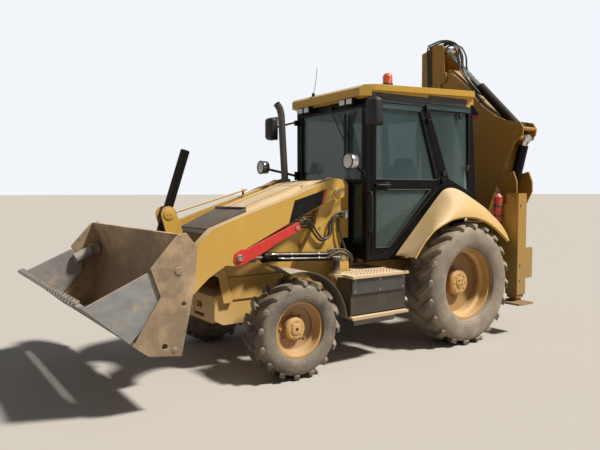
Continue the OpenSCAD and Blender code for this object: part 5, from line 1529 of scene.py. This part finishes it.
@dataclass
class FenderTrim:
    """Rear mudguards as smooth pressed sheets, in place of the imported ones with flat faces."""

    inner_y: float = 0.742
    outer_y: float = 1.043
    round_share: float = 0.62
    thick: float = 0.008
    steps: int = 14
    ledge: tuple[Point, Point] = ((-0.200, 0.6803, 1.400), (0.250, 0.745, 1.424))
    tall: tuple[tuple[float, float], ...] = (
        (0.838, 1.002), (0.818, 1.032), (0.598, 1.243), (0.378, 1.455), (0.180, 1.640), (0.095, 1.685), (0.010, 1.695),
        (-0.110, 1.673), (-0.300, 1.585), (-0.480, 1.495), (-0.612, 1.402), (-0.740, 1.305), (-0.808, 1.205),
        (-0.829, 1.102))
    low: tuple[tuple[float, float], ...] = (
        (0.868, 1.002), (0.744, 1.148), (0.667, 1.215), (0.580, 1.278), (0.376, 1.357), (0.270, 1.381), (0.157, 1.390),
        (0.050, 1.388), (-0.055, 1.376), (-0.170, 1.345), (-0.278, 1.305), (-0.420, 1.228), (-0.540, 1.148),
        (-0.600, 1.102))
    wall: tuple[tuple[float, float], ...] = (
        (0.415, 1.400), (0.155, 1.655), (0.090, 1.680), (0.010, 1.684), (-0.118, 1.659), (-0.470, 1.487),
        (-0.590, 1.400))

    def build(self) -> None:
        """Build the sheet through rows from the inner edge to the outer one, then its walls and edges."""
        tall = smooth_line([at(x, self.inner_y, z) for x, z in self.tall], 4)
        low = smooth_line([at(x, self.outer_y, z) for x, z in self.low], 4)
        rows = []
        for step in range(self.steps + 1):
            t = step / self.steps
            out = t * (1 - self.round_share) + self.round_share * math.sin(t * math.pi / 2)
            fall = t * (1 - self.round_share) + self.round_share * (1 - math.cos(t * math.pi / 2))
            rows.append([Vector((a.x + (b.x - a.x) * fall, a.y + (b.y - a.y) * out, a.z + (b.z - a.z) * fall))
                         for a, b in zip(tall, low)])
        skin = Shape()
        skin.sheet(rows, -self.thick)
        skin.plate([at(x, self.inner_y + 0.001, z) for x, z in self.wall], (0, 0.007, 0))
        skin.block(*placed(self.ledge), 0.002)
        piece = skin.finish("rear_mudguards", Body.CHASSIS, Finishes.yellow, 60.0, slot="yellow_paint", mirror=True)
        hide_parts("rear_fenders")
        edge = Shape()
        edge.hose([at(x, self.outer_y - 0.006, z - 0.006) for x, z in self.low], 0.0075)
        edge.finish("mudguard_edges", Body.CHASSIS, Finishes.yellow, slot="yellow_paint", mirror=True)


@dataclass
class RearTrim:
    """Tail lamps on the cab's rear wall, and the hard pipe and bolts of the stabilisers' boxes."""

    pipe_line: tuple[tuple[float, float], ...] = ((-0.915, 1.631), (-0.925, 1.54), (-0.939, 1.443), (-0.955, 1.30),
                                                  (-0.962, 1.204))
    pipe: float = 0.011
    pipe_y: float = 0.868
    bolts_z: tuple[float, ...] = (0.62, 0.80, 1.50)
    shell: tuple[Point, Point] = ((-0.432, 0.50, 1.43), (-0.388, 0.66, 1.54))
    lens: tuple[Point, Point] = ((-0.437, 0.51, 1.44), (-0.430, 0.65, 1.53))
    clamp: tuple[Point, Point] = ((-0.955, 0.85, 1.40), (-0.915, 0.89, 1.47))

    def build(self) -> None:
        """Build the lamps and fittings at the rear."""
        shells, lens = Shape(), Shape()
        shells.block(*placed(self.shell), 0.01, 3)
        lens.block(*placed(self.lens), 0.002)
        shells.finish("tail_lamp_shells", Body.CHASSIS, Finishes.seal, slot="black_paint", mirror=True)
        lens.finish("tail_lenses", Body.CHASSIS, Finishes.tail, slot="lamp_plastic", mirror=True)
        fittings = Shape()
        fittings.hose([at(x, self.pipe_y, z) for x, z in self.pipe_line], self.pipe)
        fittings.block(*placed(self.clamp), 0.004)
        for z in self.bolts_z:
            fittings.rod(at(-0.905, 1.0, z), at(-0.893, 1.0, z), 0.016, sides=6, bevel=0.002)
        fittings.finish("leg_fittings", Body.CHASSIS, Finishes.zinc, slot="chrome_rod", mirror=True)


@dataclass
class HoeTrim:
    """Hoses, pin head and panel of the digging arm."""

    near: float = -1.1895
    film: float = 0.0022
    hose: float = 0.0115
    side_hose: float = 0.0105
    long_loop: tuple[tuple[float, float], ...] = (
        (-0.771, 3.730), (-0.632, 3.750), (-0.525, 3.755), (-0.377, 3.722), (-0.245, 3.643),
        (-0.178, 3.519), (-0.165, 3.384), (-0.120, 3.250), (-0.02, 3.11), (0.12, 2.96))
    short_loop: tuple[tuple[float, float], ...] = (
        (-0.56, 3.702), (-0.47, 3.722), (-0.381, 3.69), (-0.307, 3.607), (-0.277, 3.49),
        (-0.25, 3.36), (-0.18, 3.24), (-0.06, 3.10), (0.08, 2.96))
    loops_at: tuple[tuple[float, bool, float], ...] = (
        (-1.225, True, 0.0), (-1.250, True, 0.018), (-1.275, False, 0.0), (-1.300, False, 0.014), (-1.325, True, 0.03),
        (-1.35, False, 0.024))
    side_x: float = -1.150
    side_line: tuple[tuple[float, float], ...] = ((-0.700, 3.69), (-0.712, 3.62), (-0.708, 3.52), (-0.700, 3.30),
                                                  (-0.690, 3.16))
    triangle: tuple[tuple[float, float], ...] = ((-0.018, 2.889), (0.163, 2.655), (-0.046, 2.666))
    triangle_foot: tuple[tuple[float, float], ...] = ((-0.046, 2.660), (0.168, 2.648), (0.034, 2.595))
    pin_head: tuple[Point, Point] = ((-1.192, 0.702, 2.398), (-1.180, 0.702, 2.398))

    def build(self) -> None:
        """Build the hoses at the stick's head, the panel and the pin head."""
        self.loops()
        self.panel()
        head = Shape().rod(*placed(self.pin_head), 0.034, sides=40, bevel=0.004)
        # The pin head takes the rear finish, with its painted shade
        head.finish("boom_pin_heads", Body.BOOM, Finishes.rear, slot="yellow_paint")

    def loops(self) -> None:
        """Hoses that loop over the head of the stick and run down the boom's cylinder."""
        shape = Shape()
        for x, is_long, drop in self.loops_at:
            line = self.long_loop if is_long else self.short_loop
            shape.hose([at(x, y, z - drop) for y, z in line], self.hose)
        shape.finish("stick_head_hoses", Body.STICK, Finishes.hose, slot="black_paint",
                     bend=Bend(Body.BOOM, at(-1.29, -0.62, 3.74), at(-1.29, -0.16, 3.38)))
        side = Shape()
        for step in (0.0, 0.05):
            side.hose([at(self.side_x, y + step, z) for y, z in self.side_line], self.side_hose)
        side.finish("stick_side_hoses", Body.STICK, Finishes.hose, slot="black_paint")

    def panel(self) -> None:
        """Blank black triangle with a plain red foot on the boom's near plate."""
        for name, corners, finish, slot in (("boom_panel", self.triangle, Finishes.decal, "black_paint"),
                                            ("boom_panel_foot", self.triangle_foot, Finishes.red, "red_paint")):
            sheet = Shape().plate([at(self.near - 0.0012, y, z) for y, z in corners], (self.film, 0, 0))
            sheet.finish(name, Body.BOOM, finish, slot=slot)


@dataclass
class Studio:
    """Pale floor, soft light and the photograph's camera."""

    eye: tuple[float, float, float] = (3.8558, 5.1159, 1.6439)
    yaw: float = 235.144
    pitch: float = -3.092
    roll: float = -0.1
    lens: float = 35.068
    floor_colour: Colour = srgb(180, 175, 167)
    sky_light: float = 0.17
    sky_shine: float = 0.40
    sky_seen: float = 0.96
    sky_colour: Colour = (0.93, 0.96, 1.0, 1.0)
    sun_power: float = 5.2
    sun_width: float = math.radians(7)
    sun_colour: tuple[float, float, float] = (1.0, 0.965, 0.90)
    sun_from: tuple[float, float, float] = (-0.42, 0.62, 1.0)
    floor_half: float = 900.0
    floor_rough: float = 0.9

    def camera(self) -> None:
        """Place the camera where the photograph was taken from."""
        data = bpy.data.cameras.new("camera")
        data.sensor_width = 36.0
        data.lens = self.lens
        camera = bpy.data.objects.new("camera", data)
        bpy.context.scene.collection.objects.link(camera)
        bpy.context.scene.camera = camera
        yaw, pitch, roll = (math.radians(a) for a in (self.yaw, self.pitch, self.roll))
        ahead = Vector((math.cos(pitch) * math.cos(yaw), math.cos(pitch) * math.sin(yaw), math.sin(pitch)))
        right = Vector((math.sin(yaw), -math.cos(yaw), 0))
        up = right.cross(ahead)
        right, up = (right * math.cos(roll) + up * math.sin(roll), up * math.cos(roll) - right * math.sin(roll))
        turn = Matrix((right, up, -ahead)).transposed().to_4x4()
        camera.matrix_world = Matrix.Translation(self.eye) @ turn

    def light(self) -> None:
        """One soft sun from behind on the left, and an even pale sky."""
        sun = bpy.data.lights.new("sun", "SUN")
        sun.energy = self.sun_power
        sun.angle = self.sun_width
        sun.color = self.sun_colour
        holder = bpy.data.objects.new("sun", sun)
        holder.rotation_euler = Vector(self.sun_from).to_track_quat("Z", "Y").to_euler()
        bpy.context.scene.collection.objects.link(holder)
        world = bpy.data.worlds.new("sky")
        bpy.context.scene.world = world
        world.use_nodes = True
        graph = Graph(world.node_tree)
        seen = graph.node("ShaderNodeLightPath", output="Is Camera Ray")
        through = graph.node("ShaderNodeLightPath", output="Is Transmission Ray")
        direct = seen.math("MAXIMUM", seen, through)
        shine = graph.node("ShaderNodeLightPath", output="Is Glossy Ray")
        strength = direct * (self.sky_seen - self.sky_light) + shine * (self.sky_shine - self.sky_light)
        strength = strength + self.sky_light
        sky = graph.node("ShaderNodeBackground", None, {"Color": self.sky_colour, "Strength": strength})
        graph.node("ShaderNodeOutputWorld", None, {"Surface": sky})

    def floor(self) -> None:
        """A wide pale floor that fades into the backdrop."""
        mesh = bmesh.new()
        bmesh.ops.create_grid(mesh, x_segments=2, y_segments=2, size=self.floor_half)
        data = bpy.data.meshes.new("floor")
        mesh.to_mesh(data)
        mesh.free()
        floor = bpy.data.objects.new("floor", data)
        bpy.context.scene.collection.objects.link(floor)
        material = bpy.data.materials.new("floor_paper")
        material.use_nodes = True
        Graph(material.node_tree).shade(self.floor_colour, self.floor_rough)
        data.materials.append(material)

    def build(self) -> None:
        """Make the camera first, then the light and the floor."""
        self.camera()
        self.light()
        self.floor()
        bpy.context.scene.view_settings.view_transform = "Standard"
        LOG.info("built the studio")


def main() -> None:
    """Build the studio and every sub-assembly in order."""
    logging.basicConfig(level=logging.INFO, format="%(message)s")
    Studio().build()
    Framework().dress()
    for part in (HoodTrim(), LoaderTrim(), CylinderTrim(), CabTrim(), CabInterior(), StepTrim(), WheelTrim(),
                 BucketTrim(), FenderTrim(), RearTrim(), HoeTrim()):
        part.build()
        LOG.info("finished %s", type(part).__name__)


if __name__ == "__main__":
    main()
